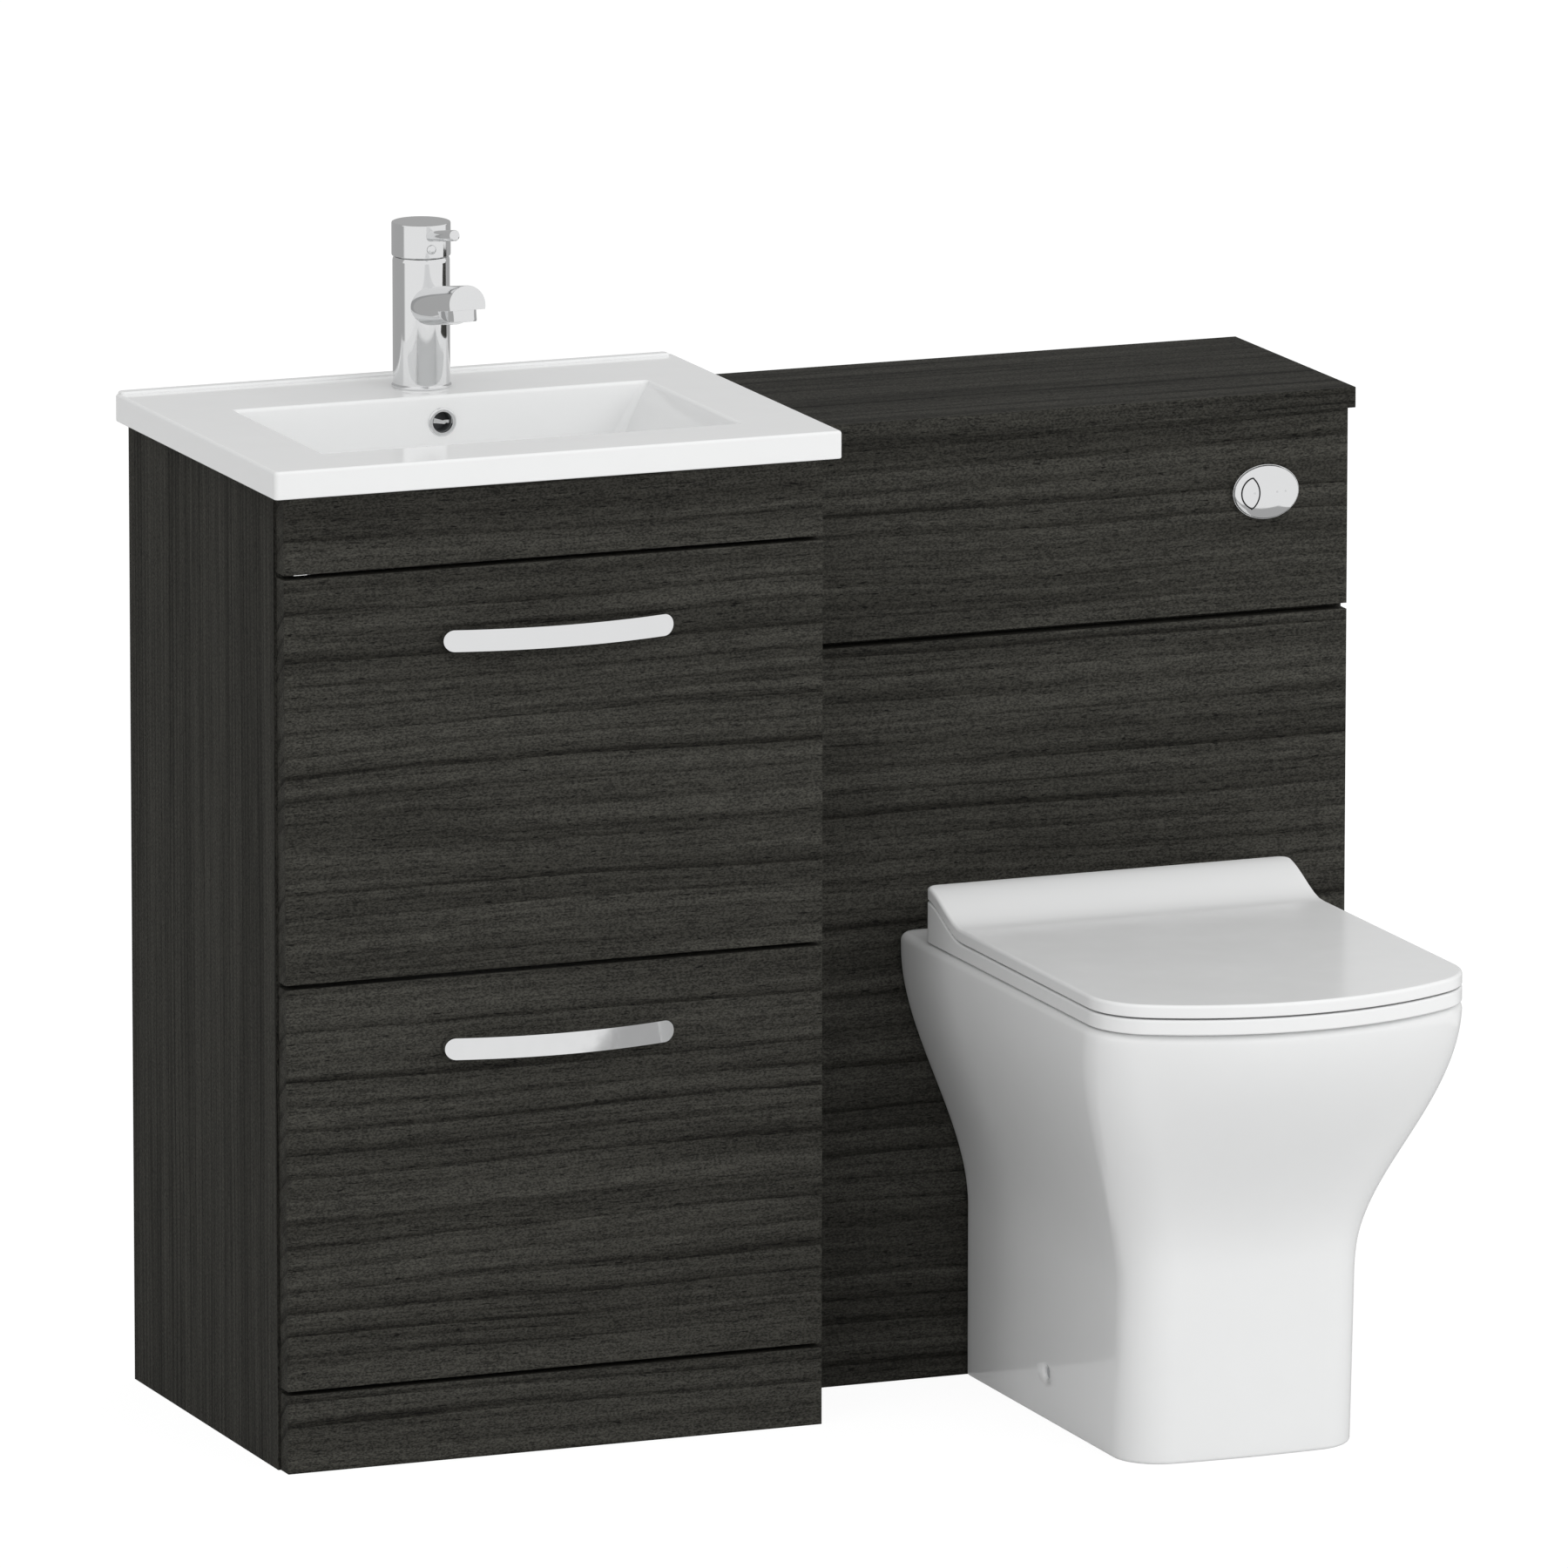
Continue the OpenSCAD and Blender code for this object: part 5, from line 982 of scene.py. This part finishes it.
# ---------------------------------------------------------------- flush plate and cistern
class UNIT_OT_flush_plate(bpy.types.Operator):
    """Make the flush plate's collar and its two buttons"""

    bl_idname = "unit.flush_plate"
    bl_label = "Flush Plate"

    def execute(self, context):
        low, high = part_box("flush_collar")
        middle = Vector(((low.x + high.x) / 2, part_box("wc_upper_fascia")[0].y, (low.z + high.z) / 2))
        wide, tall = (high.x - low.x) / 2, (high.z - low.z) / 2
        frame_at = wall_frame(middle)

        def ellipse(rx, rz, z, count=96):
            return [frame_at @ Vector((rx * math.cos(a), rz * math.sin(a), z))
                    for a in (2 * math.pi * (i + 0.5) / count for i in range(count))]

        def oval(inset, z):
            return ellipse(wide - inset, tall - inset, z)

        turn = [math.radians(a) for a in (0, 20, 40, 60, 80, 90)]
        base, face, swell, rim, floor = 0.0050, 0.0060, 0.0040, 0.0051, 0.0006
        rings = [oval(0, 0)] + [oval(0.0004 * (1 - math.cos(a)), rim - 0.0004 * (1 - math.sin(a))) for a in turn]
        hole, sleeve, tail = 0.0155, 0.0175, -0.0315
        rings += [oval(0.0006, rim - 0.0001), oval(0.0006, floor), ellipse(hole, hole, floor),
                  ellipse(hole, hole, tail), ellipse(sleeve, sleeve, tail), ellipse(sleeve, sleeve, 0)]
        collar = mesh_of(lambda bm: loft(bm, rings, "join", None))
        nut_ring = mesh_of(lambda bm: loft(bm, [
            [frame_at @ Vector((r * math.cos(a), r * math.sin(a), z)) for a in (math.pi * i / 3 for i in range(6))]
            for r, z in ((0.018, -0.0259), (0.0255, -0.0259), (0.026, -0.0254), (0.026, -0.0186), (0.0255, -0.0181),
                         (0.018, -0.0181))], "join", None))
        piece("flush_collar_plated", joined(collar, nut_ring), "chrome", "flush_collar", angle=30)
        lining = mesh_of(lambda bm: loft(bm, [oval(0.0008, floor + 0.0001), oval(0.0008, floor + 0.0003),
                                              ellipse(0.0156, 0.0156, floor + 0.0003),
                                              ellipse(0.0156, 0.0156, floor + 0.0001)], "join", None))
        piece("flush_recess_lining", lining, "dark_plastic", "flush_collar", angle=30)

        across, up = wide - 0.0009, tall - 0.0009

        def dome(sunk=0.0):
            bows = [math.radians(90 * k / 16) for k in range(16)]
            made = [ellipse(across, up, base)] + [
                ellipse(across * math.cos(a), up * math.cos(a), face - sunk + swell * math.sin(a)) for a in bows]
            return mesh_of(lambda bm: loft(bm, made))

        def lens(grow):
            """Two arcs that meet in rounded tips; the outer arc is the fuller one."""
            tip_x, tip_y, blunt = -0.0141, 0.0128, 0.0012 + grow
            outline = []
            for side, bulge in ((1, 0.0056), (-1, 0.0093)):
                r = (tip_y ** 2 + bulge ** 2) / (2 * bulge)
                turn_to = math.degrees(math.asin(tip_y / r)) * 0.93
                centre = tip_x + side * (bulge - r)
                around = (-turn_to, turn_to) if side == 1 else (180 - turn_to, 180 + turn_to)
                outline += arc(centre, 0, r + grow, *around, 24)
                end = math.radians(turn_to)
                end_x, end_y = centre + side * (r + grow) * math.cos(end), side * (r + grow) * math.sin(end)
                outline.append(((end_x + tip_x) / 2, end_y + side * blunt * 0.4))
            return mesh_of(lambda bm: loft(bm, [[frame_at @ Vector((x, y, z)) for x, y in outline]
                                                for z in (-0.02, 0.03)]))

        def dimple(x, y):
            z = face + swell * math.sqrt(1 - (x / across) ** 2 - (y / up) ** 2)
            return mesh_of(lambda bm: bmesh.ops.create_uvsphere(
                bm, u_segments=24, v_segments=12, radius=0.0009,
                matrix=frame_at @ Matrix.Translation((x, y, z + 0.0003))))

        full = carved(dome(), lens(0.0013))
        full = carved(full, joined(dimple(0.0085, 0), dimple(0.0165, 0)))
        softened(full, 0.0003, 50, 2, merge=False)
        stem = rod(frame_at @ Vector((0.006, 0, 0)), OUT, 0.007, face - 0.0005, 48)
        piece("flush_full_button_plated", joined(full, stem), "chrome", "flush_full_button", angle=30)
        seal = carved(carved(dome(0.0006), lens(0.0014), "INTERSECT"), lens(0.0003))
        piece("flush_lens_seal", seal, "seal_rubber", "flush_full_button", angle=30)
        half = carved(dome(), lens(0), "INTERSECT")
        half = carved(half, dimple(-0.0125, 0))
        softened(half, 0.0003, 50, 2, merge=False)
        stem = rod(frame_at @ Vector((-0.0115, 0, 0)), OUT, 0.0026, face - 0.0005, 48)
        piece("flush_half_button_plated", joined(half, stem), "chrome", "flush_half_button", angle=30)
        return {"FINISHED"}


class UNIT_OT_cistern(bpy.types.Operator):
    """Make the concealed cistern, its valves and pipes"""

    bl_idname = "unit.cistern"
    bl_label = "Cistern"

    def execute(self, context):
        for node, width in (("cistern_tank", 0.0012), ("cistern_lid", 0.0010), ("fill_valve", 0.0005),
                            ("flush_valve", 0.0005), ("soil_connector", 0.0008)):
            eased(node + "_moulded", node, SLOT[node], width)
        for node in ("fill_float", "flush_bell"):
            eased(node + "_moulded", node, "dark_plastic", 0.0006)
        piece("flush_pipe_moulded", node_copy("flush_pipe"), "white_plastic", "flush_pipe", angle=40)
        return {"FINISHED"}


# ---------------------------------------------------------------- pan, seat and lid
HINGE_X = 0.0775       # each hinge from the middle of the pan
PIN_HOLE = 0.00405     # radius of the hinge pins' holes


def plan_outline(half, back, front, corner, bow, rear, steps=(14, 14, 16, 6)):
    """Plan with rounded rear corners, straight sides, round front corners and a bowed front, as X, Y pairs
    anticlockwise from the rear left. Point i and point n-1-i mirror each other."""
    bow_n, corner_n, side_n, rear_n = steps
    r, big = min(corner, half - MM), max(bow, half + MM)
    cy = front + big
    yc = cy - math.sqrt((big - r) ** 2 - (half - r) ** 2)
    turn = math.degrees(math.atan2(yc - cy, half - r))
    side = []
    for i in range(bow_n):
        a = math.radians(lerp(-90, turn, (i + 0.5) / bow_n))
        side.append((big * math.cos(a), cy + big * math.sin(a)))
    side += arc(half - r, yc, r, turn, 0, corner_n)
    side += [(half, lerp(yc, back - rear, 1 - (1 - i / (side_n + 1)) ** 1.4)) for i in range(1, side_n + 1)]
    side += arc(half - rear, back - rear, rear, 0, 90, rear_n)
    return [(-x, y) for x, y in reversed(side)] + side


class Seating:
    """Places that the pan, the seat and the lid share, from the frame."""

    def __init__(self):
        pan_low, pan_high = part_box("pan")
        seat_low, seat_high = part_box("seat")
        lid_low, lid_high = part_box("lid")
        self.x = (pan_low.x + pan_high.x) / 2
        self.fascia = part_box("wc_lower_fascia")[0].y
        self.rim = pan_high.z
        self.half = (pan_high.x - pan_low.x) / 2
        self.front = pan_low.y
        self.seat_half = (seat_high.x - seat_low.x) / 2
        self.seat_front = lid_low.y
        self.seat_z = seat_low.z
        self.lid_z = seat_low.z + 0.013 + 0.0016
        self.lid_top = self.lid_z + 0.011
        self.rise = lid_high.z - self.lid_top
        self.tail = lid_high.y
        self.hinge_y = self.tail - 0.008
        self.hinge_z = self.rim + 0.024

    def lift(self, y):
        return self.rise * smooth((y - (self.tail - 0.080)) / 0.079)

    def seat_plan(self, inset):
        return plan_outline(self.seat_half - inset, self.tail - inset, self.seat_front + inset, 0.064 - inset,
                            0.280 - inset, 0.008, (16, 16, 26, 6))

    def follow(self, outline, z):
        return [(self.x + px, py, z + self.lift(py)) for px, py in outline]

    def flat(self, outline, z):
        return [(self.x + px, py, z) for px, py in outline]


class UNIT_OT_pan(bpy.types.Operator):
    """Make the toilet pan with its flared foot, bowl and spigots"""

    bl_idname = "unit.pan"
    bl_label = "Pan"

    def execute(self, context):
        sizes = context.scene.unit_pan
        s = Seating()
        waist, shoulder = sizes.waist, s.rim - 0.011
        foot_half, foot_front = 0.108, s.fascia - 0.369
        foot_corner, rim_corner, foot_bow, rim_bow = 0.042, 0.060, 0.900, 0.280
        wall = 0.013

        def flare(z):
            return smooth((z - waist) / (shoulder - waist))

        def outline(z, inset, back, rear=0.008):
            front_share = 0.15 * z / s.rim + 0.85 * smooth((z - waist - 0.020) / (s.rim - waist - 0.020))
            half = lerp(foot_half, s.half, flare(z)) - inset
            front = lerp(foot_front, s.front, front_share) + inset
            corner = max(lerp(foot_corner, rim_corner, flare(z)) - inset, 0.014)
            return plan_outline(half, back, front, corner, 1 / lerp(1 / foot_bow, 1 / rim_bow, flare(z)), rear)

        def ring(z, inset, back=s.fascia, at=None):
            return s.flat(outline(max(z, 0), inset, back), z if at is None else at)

        edge = sizes.rim_round
        quarter = quarter_turn(10)
        foot_round, sump_round, mouth_round = 0.0035, 0.020, 0.006
        rings = [ring(0, inset, at=rise) for inset, rise in lower_edge(foot_round)]
        rings += [ring(lerp(foot_round, s.rim - edge, k / 64), 0) for k in range(1, 65)]
        rings += [s.flat(outline(s.rim - edge, inset, s.fascia), s.rim - fall)
                  for inset, fall in upper_edge(edge)[1:]]
        pan = mesh_of(lambda bm: loft(bm, rings))

        top_back, top_front = s.fascia - 0.104, s.front + 0.066
        sump_y, sump_half, sump_z, top_z = s.fascia - 0.225, 0.044, 0.110, s.rim - 0.046

        def bowl_ring(share, grow, z):
            e = smooth(share)
            w = lerp(0.120, sump_half, e) + grow
            return s.flat(plan_outline(w, lerp(top_back, sump_y + sump_half, e) + grow,
                                       lerp(top_front, sump_y - sump_half, e) - grow, w * 0.8,
                                       lerp(w * 1.3, w + 0.004, e), w * lerp(0.35, 0.9, e), (10, 16, 8, 12)), z)

        bowl = [bowl_ring(1, -inset, sump_z + rise) for inset, rise in lower_edge(sump_round)]
        bowl += [bowl_ring(1 - k / 30, 0, lerp(sump_z + sump_round, top_z, k / 30)) for k in range(1, 31)]
        bowl += [bowl_ring(0, 0, s.rim - mouth_round)]
        bowl += [bowl_ring(0, mouth_round * (1 - math.cos(a)), s.rim - mouth_round + mouth_round * math.sin(a))
                 for a in quarter[1:]]
        bowl += [bowl_ring(0, mouth_round, s.rim + 0.004)]
        pan = carved(pan, mesh_of(lambda bm: loft(bm, bowl)))

        hollow_top, hollow_round, open_back = 0.085, 0.012, s.fascia + 0.020
        hollow = [s.flat(outline(max(z, 0), wall, open_back), z) for z in (-0.002, 0.03, 0.06, hollow_top)]
        hollow += [s.flat(outline(hollow_top, wall + hollow_round * (1 - math.cos(a)), open_back),
                          hollow_top + hollow_round * math.sin(a)) for a in quarter[1:]]
        pan = carved(pan, mesh_of(lambda bm: loft(bm, hollow)))
        # the flanks behind the bowl are open at the back, round the spigots
        rear = [s.flat(plan_outline(lerp(foot_half, s.half, flare(z)) - wall, s.fascia + 0.02, s.fascia - 0.055,
                                    0.012, foot_bow, 0.008), z) for z in (0.08, 0.15, 0.2, 0.25, 0.3, 0.35, 0.372)]
        pan = carved(pan, mesh_of(lambda bm: loft(bm, rear)))
        outlet, outlet_r, soil_r, soil_bore = Vector((s.x, s.fascia, 0.180)), 0.051, 0.043, 0.030
        inlet, inlet_r, flush_r, flush_bore = Vector((s.x, s.fascia, 0.312)), 0.039, 0.0255, 0.021
        pan = carved(pan, rod(outlet + OUT * 0.006, OUT, outlet_r, 0.055), "UNION")
        pan = carved(pan, rod(inlet, OUT, inlet_r, 0.060), "UNION")
        for tool in (rod(outlet - OUT * 0.01, OUT, soil_r, 0.045), rod(outlet, OUT, soil_bore, 0.090),
                     rod(inlet - OUT * 0.01, OUT, flush_r, 0.033), rod(inlet, OUT, flush_bore, 0.120)):
            pan = carved(pan, tool)
        screw_y, screw_z = s.fascia - 0.180, 0.0415
        for side in (-1, 1):
            flank = Vector((s.x + side * foot_half, screw_y, screw_z))
            outwards = Vector((side, 0, 0))
            sink = lathed([(0, -0.02), (0.0055, -0.02), (0.0055, -0.0022), (0.0058, -0.0016), (0.0105, 0.0006),
                           (0.0115, 0.003), (0, 0.003)], axis_at(flank, outwards), 64)
            pan = carved(pan, sink)
            pan = carved(pan, rod(Vector((s.x + side * HINGE_X, s.hinge_y, s.rim - 0.03)), UP, 0.008, 0.05, 48))
        piece("pan_glazed", pan, "glazed_ceramic", "pan", angle=40, weighted=False)
        eased("pan_brackets", "pan_fixings", "steel", 0.0003)
        return {"FINISHED"}


class UNIT_OT_seat(bpy.types.Operator):
    """Make the seat, the lid, their hinges and buffers"""

    bl_idname = "unit.seat"
    bl_label = "Seat and Lid"

    def execute(self, context):
        sizes = context.scene.unit_pan
        s = Seating()
        seat_h = s.lid_z - 0.0016 - s.seat_z
        back, front = s.hinge_y - 0.062, s.seat_front + 0.066

        def opening(inset):
            return plan_outline(0.104 + inset, back + inset, front - inset, 0.080, 0.120, 0.060, (16, 16, 26, 6))

        top, slope, slope_fall = 2.0 * MM, 0.009, 0.005
        rings = [s.flat(s.seat_plan(inset), s.seat_z + rise) for inset, rise in lower_edge(0.0015)]
        rings += [s.follow(s.seat_plan(inset), s.seat_z + seat_h - fall) for inset, fall in upper_edge(top)]
        inner_top = [s.follow(opening(inset), s.seat_z + seat_h - fall)
                     for inset, fall in lower_edge(slope, slope_fall)]
        outer, inner = s.seat_plan(top), opening(slope)
        for k in range(1, 8):
            between = [(lerp(a[0], b[0], k / 8), lerp(a[1], b[1], k / 8)) for a, b in zip(outer, inner)]
            rings.append(s.follow(between, s.seat_z + seat_h))
        rings += inner_top
        rings += [s.flat(opening(inset), s.seat_z + rise) for inset, rise in upper_edge(0.004, 0.0025)]
        ring = mesh_of(lambda bm: loft(bm, rings, "join", None))
        for side in (-1, 1):
            near, far = sorted((side * (HINGE_X - 0.032), side * (HINGE_X + 0.014)))
            ring = carved(ring, block((s.x + near, s.hinge_y - 0.020, s.seat_z - 0.001),
                                      (s.x + far, s.tail + 0.002, s.lid_top + s.rise)))
            ring = carved(ring, rod(Vector((s.x + side * (HINGE_X + 0.013), s.hinge_y, s.hinge_z)), (side, 0, 0),
                                    PIN_HOLE, 0.017, 32))
        sweep = s.lid_z + s.lift(s.hinge_y) - s.hinge_z - 0.0008
        corner = block((s.x - s.seat_half - 0.001, s.hinge_y, s.hinge_z),
                       (s.x + s.seat_half + 0.001, s.tail + 0.001, s.lid_top + s.rise))
        turning = rod(Vector((s.x - s.seat_half - 0.002, s.hinge_y, s.hinge_z)), (1, 0, 0), sweep,
                      2 * s.seat_half + 0.004, 128)
        ring = carved(ring, carved(corner, turning))
        piece("seat_ring", ring, "seat_plastic", "seat", angle=40)

        r = sizes.lid_round
        rings = [s.follow(s.seat_plan(inset), s.lid_z + rise) for inset, rise in lower_edge(0.001)]
        rings += [s.follow(s.seat_plan(inset), s.lid_top - fall) for inset, fall in upper_edge(r)]
        rings += [s.follow(s.seat_plan(r + 0.004), s.lid_top)]
        cover = mesh_of(lambda bm: loft(bm, rings, "ladder", "ladder"))

        def under(inset, z, lifted):
            shape = plan_outline(s.seat_half - inset, s.tail - 0.042, s.seat_front + inset, 0.064 - inset,
                                 0.280 - inset, 0.008, (16, 16, 26, 6))
            return [(s.x + px, py, s.lid_z + z + (s.lift(py) if lifted else 0)) for px, py in shape]

        cover = carved(cover, mesh_of(lambda bm: loft(bm, [under(0.010, -0.001, False), under(0.012, 0.005, True)],
                                                      "ladder", "ladder")))
        for side in (-1, 1):
            x0 = s.x + side * HINGE_X
            inner, outer = sorted((x0 - side * 0.030, x0 - side * 0.014))
            lug = rod(Vector((inner, s.hinge_y, s.hinge_z)), (1, 0, 0), 0.008, outer - inner, 48)
            web = block((inner, s.hinge_y - 0.008, s.hinge_z),
                        (outer, s.hinge_y + 0.008, s.lid_z + s.lift(s.hinge_y - 0.008) + 0.002))
            cover = carved(cover, carved(lug, web, "UNION"), "UNION")
            cover = carved(cover, rod(Vector((x0 - side * 0.013, s.hinge_y, s.hinge_z)), (-side, 0, 0),
                                      PIN_HOLE, 0.015, 32))
        piece("lid_cover", cover, "seat_plastic", "lid", angle=40)
        eased("seat_hinge_posts", "seat_hinges", "chrome", 0.0008)

        for node, radius in (("seat_buffers", 0.010), ("lid_buffers", 0.0035)):
            low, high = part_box(node)
            deep = high.z - low.z
            pad = lathed([(0, 0), (radius - 0.0004, 0), (radius - 0.0001, 0.0002), (radius, 0.0004), (radius, deep),
                          (0, deep)], Matrix.Identity(4), 48)
            pads = set_out(pad, "buffer_rubber", (low.x + radius, low.y + radius, low.z),
                           (high.x - low.x - 2 * radius, 0, 0), 2, (0, high.y - low.y - 2 * radius, 0), 2)
            piece(node + "_pads", pads, "buffer_rubber", node)
        return {"FINISHED"}


# ---------------------------------------------------------------- stage
def ray_kinds(tree):
    """Whether a ray leaves the camera, and whether it leaves a polished or clear surface."""
    path = put(tree, "ShaderNodeLightPath").outputs
    return path["Is Camera Ray"], calc(tree, "MAXIMUM", path["Is Glossy Ray"], path["Is Transmission Ray"])


class UNIT_OT_stage(bpy.types.Operator):
    """Make the floor, the studio light and the camera"""

    bl_idname = "unit.stage"
    bl_label = "Stage"

    def execute(self, context):
        settings = context.scene.unit_stage
        scene = context.scene
        scene.view_settings.view_transform = "Standard"

        floor = linked("studio_floor", mesh_of(lambda bm: bmesh.ops.create_grid(
            bm, x_segments=1, y_segments=1, size=30)))
        material, tree, shader, coords = new_material("Studio floor")
        shader.inputs["Roughness"].default_value = 0.9
        shader.inputs["Specular IOR Level"].default_value = 0.1
        tone = ramp(tree, noise(tree, coords, 3.0, 2.0), 0.3, 0.7, 0.77, 0.78)
        tree.links.new(put(tree, "ShaderNodeCombineColor", {0: tone, 1: tone, 2: tone}).outputs[0],
                       shader.inputs["Base Color"])
        camera_ray, polished = ray_kinds(tree)
        place = put(tree, "ShaderNodeSeparateXYZ", {0: coords}).outputs
        # Painted reflection: to polished parts the floor glows instead of showing its lit colour, bright in front of
        # the unit, dim behind it and beyond about 1.4 m out
        away = calc(tree, "MAXIMUM", calc(tree, "ABSOLUTE", place[0]), calc(tree, "ABSOLUTE", place[1]))
        near = ramp(tree, away, 1.36, 1.40, settings.dim_mirror, settings.bright_mirror)
        behind = ramp(tree, place[1], 0.0, 0.8, settings.bright_mirror, settings.dim_mirror)
        mirror = calc(tree, "MINIMUM", near, behind)
        seen = calc(tree, "MAXIMUM", calc(tree, "MULTIPLY", camera_ray, 0.85), polished)
        # Camera rays see the floor evenly white; polished parts see the painted reflection
        strength = put(tree, "ShaderNodeMix", {0: camera_ray, 2: mirror, 3: 1.10}).outputs[0]
        floor_glow_and_painted_reflection = put(tree, "ShaderNodeEmission", {"Color": (1, 1, 1, 1), "Strength": strength})
        mixed = put(tree, "ShaderNodeMixShader", {0: seen, 1: shader.outputs[0], 2: floor_glow_and_painted_reflection.outputs[0]})
        tree.links.new(mixed.outputs[0], next(n for n in tree.nodes if n.type == "OUTPUT_MATERIAL").inputs[0])
        floor.data.materials.append(material)

        world = bpy.data.worlds.new("Studio")
        world.use_nodes = True
        scene.world = world
        tree = world.node_tree
        tree.nodes.clear()
        way = put(tree, "ShaderNodeTexCoord").outputs["Generated"]
        towards = Vector((0.08, -0.80, 0.50)).normalized()
        facing = put(tree, "ShaderNodeVectorMath", {0: way, 1: towards}, operation="DOT_PRODUCT").outputs["Value"]
        dome = ramp(tree, facing, -1, 1, settings.back_light, settings.front_light, soft=False)
        depth = put(tree, "ShaderNodeSeparateXYZ", {0: way}).outputs[1]
        mirror = ramp(tree, depth, 0.10, 0.22, settings.bright_mirror, settings.dim_mirror)
        camera_ray, polished = ray_kinds(tree)
        level = put(tree, "ShaderNodeMix", {0: polished, 2: dome, 3: mirror}).outputs[0]
        level = put(tree, "ShaderNodeMix", {0: camera_ray, 2: level, 3: 1.0}).outputs[0]
        back = put(tree, "ShaderNodeBackground", {"Color": (1, 1, 1, 1), "Strength": level})
        put(tree, "ShaderNodeOutputWorld", {"Surface": back.outputs[0]})

        lamp = bpy.data.lights.new("Soft key", "AREA")
        lamp.shape, lamp.size, lamp.size_y, lamp.energy = "RECTANGLE", 2.4, 1.6, settings.key_power
        key = linked("Soft key", lamp)
        place = Vector((1.6, -3.2, 2.6))
        key.location = place
        key.visible_glossy = False
        key.rotation_euler = (Vector((0, 0, 0.5)) - place).to_track_quat("-Z", "Y").to_euler()

        lens = bpy.data.cameras.new("Camera")
        lens.sensor_width, lens.lens, lens.clip_end = 36.0, 423.07, 100.0
        camera = linked("Camera", lens)
        camera.location = (-5.7638, -14.1453, 3.7233)
        camera.rotation_euler = (math.radians(90 - 11.713), math.radians(-0.036), math.radians(-21.965))
        scene.camera = camera
        return {"FINISHED"}


# ---------------------------------------------------------------- panel and run
OPERATORS = (UNIT_OT_stage, UNIT_OT_cabinets, UNIT_OT_drawers, UNIT_OT_handles, UNIT_OT_basin, UNIT_OT_tap,
             UNIT_OT_flush_plate, UNIT_OT_cistern, UNIT_OT_pan, UNIT_OT_seat)


class UNIT_PT_build(bpy.types.Panel):
    """Sizes, colours and steps of the unit"""

    bl_label = "Bathroom Unit"
    bl_idname = "UNIT_PT_build"
    bl_space_type = "VIEW_3D"
    bl_region_type = "UI"
    bl_category = "Bathroom Unit"

    def draw(self, context):
        for key, group in GROUPS.items():
            box = self.layout.box()
            box.label(text=group.__doc__)
            for name in group.__annotations__:
                box.prop(getattr(context.scene, key), name)
        for operator in OPERATORS:
            self.layout.operator(operator.bl_idname)


def register():
    for group in (*GROUPS.values(), *OPERATORS, UNIT_PT_build):
        bpy.utils.register_class(group)
    for key, group in GROUPS.items():
        setattr(bpy.types.Scene, key, bpy.props.PointerProperty(type=group))


def unregister():
    for key in GROUPS:
        delattr(bpy.types.Scene, key)
    for group in reversed((*GROUPS.values(), *OPERATORS, UNIT_PT_build)):
        bpy.utils.unregister_class(group)


def main():
    register()
    for operator in OPERATORS:
        space, name = operator.bl_idname.split(".")
        getattr(getattr(bpy.ops, space), name)()


if __name__ == "__main__":
    main()
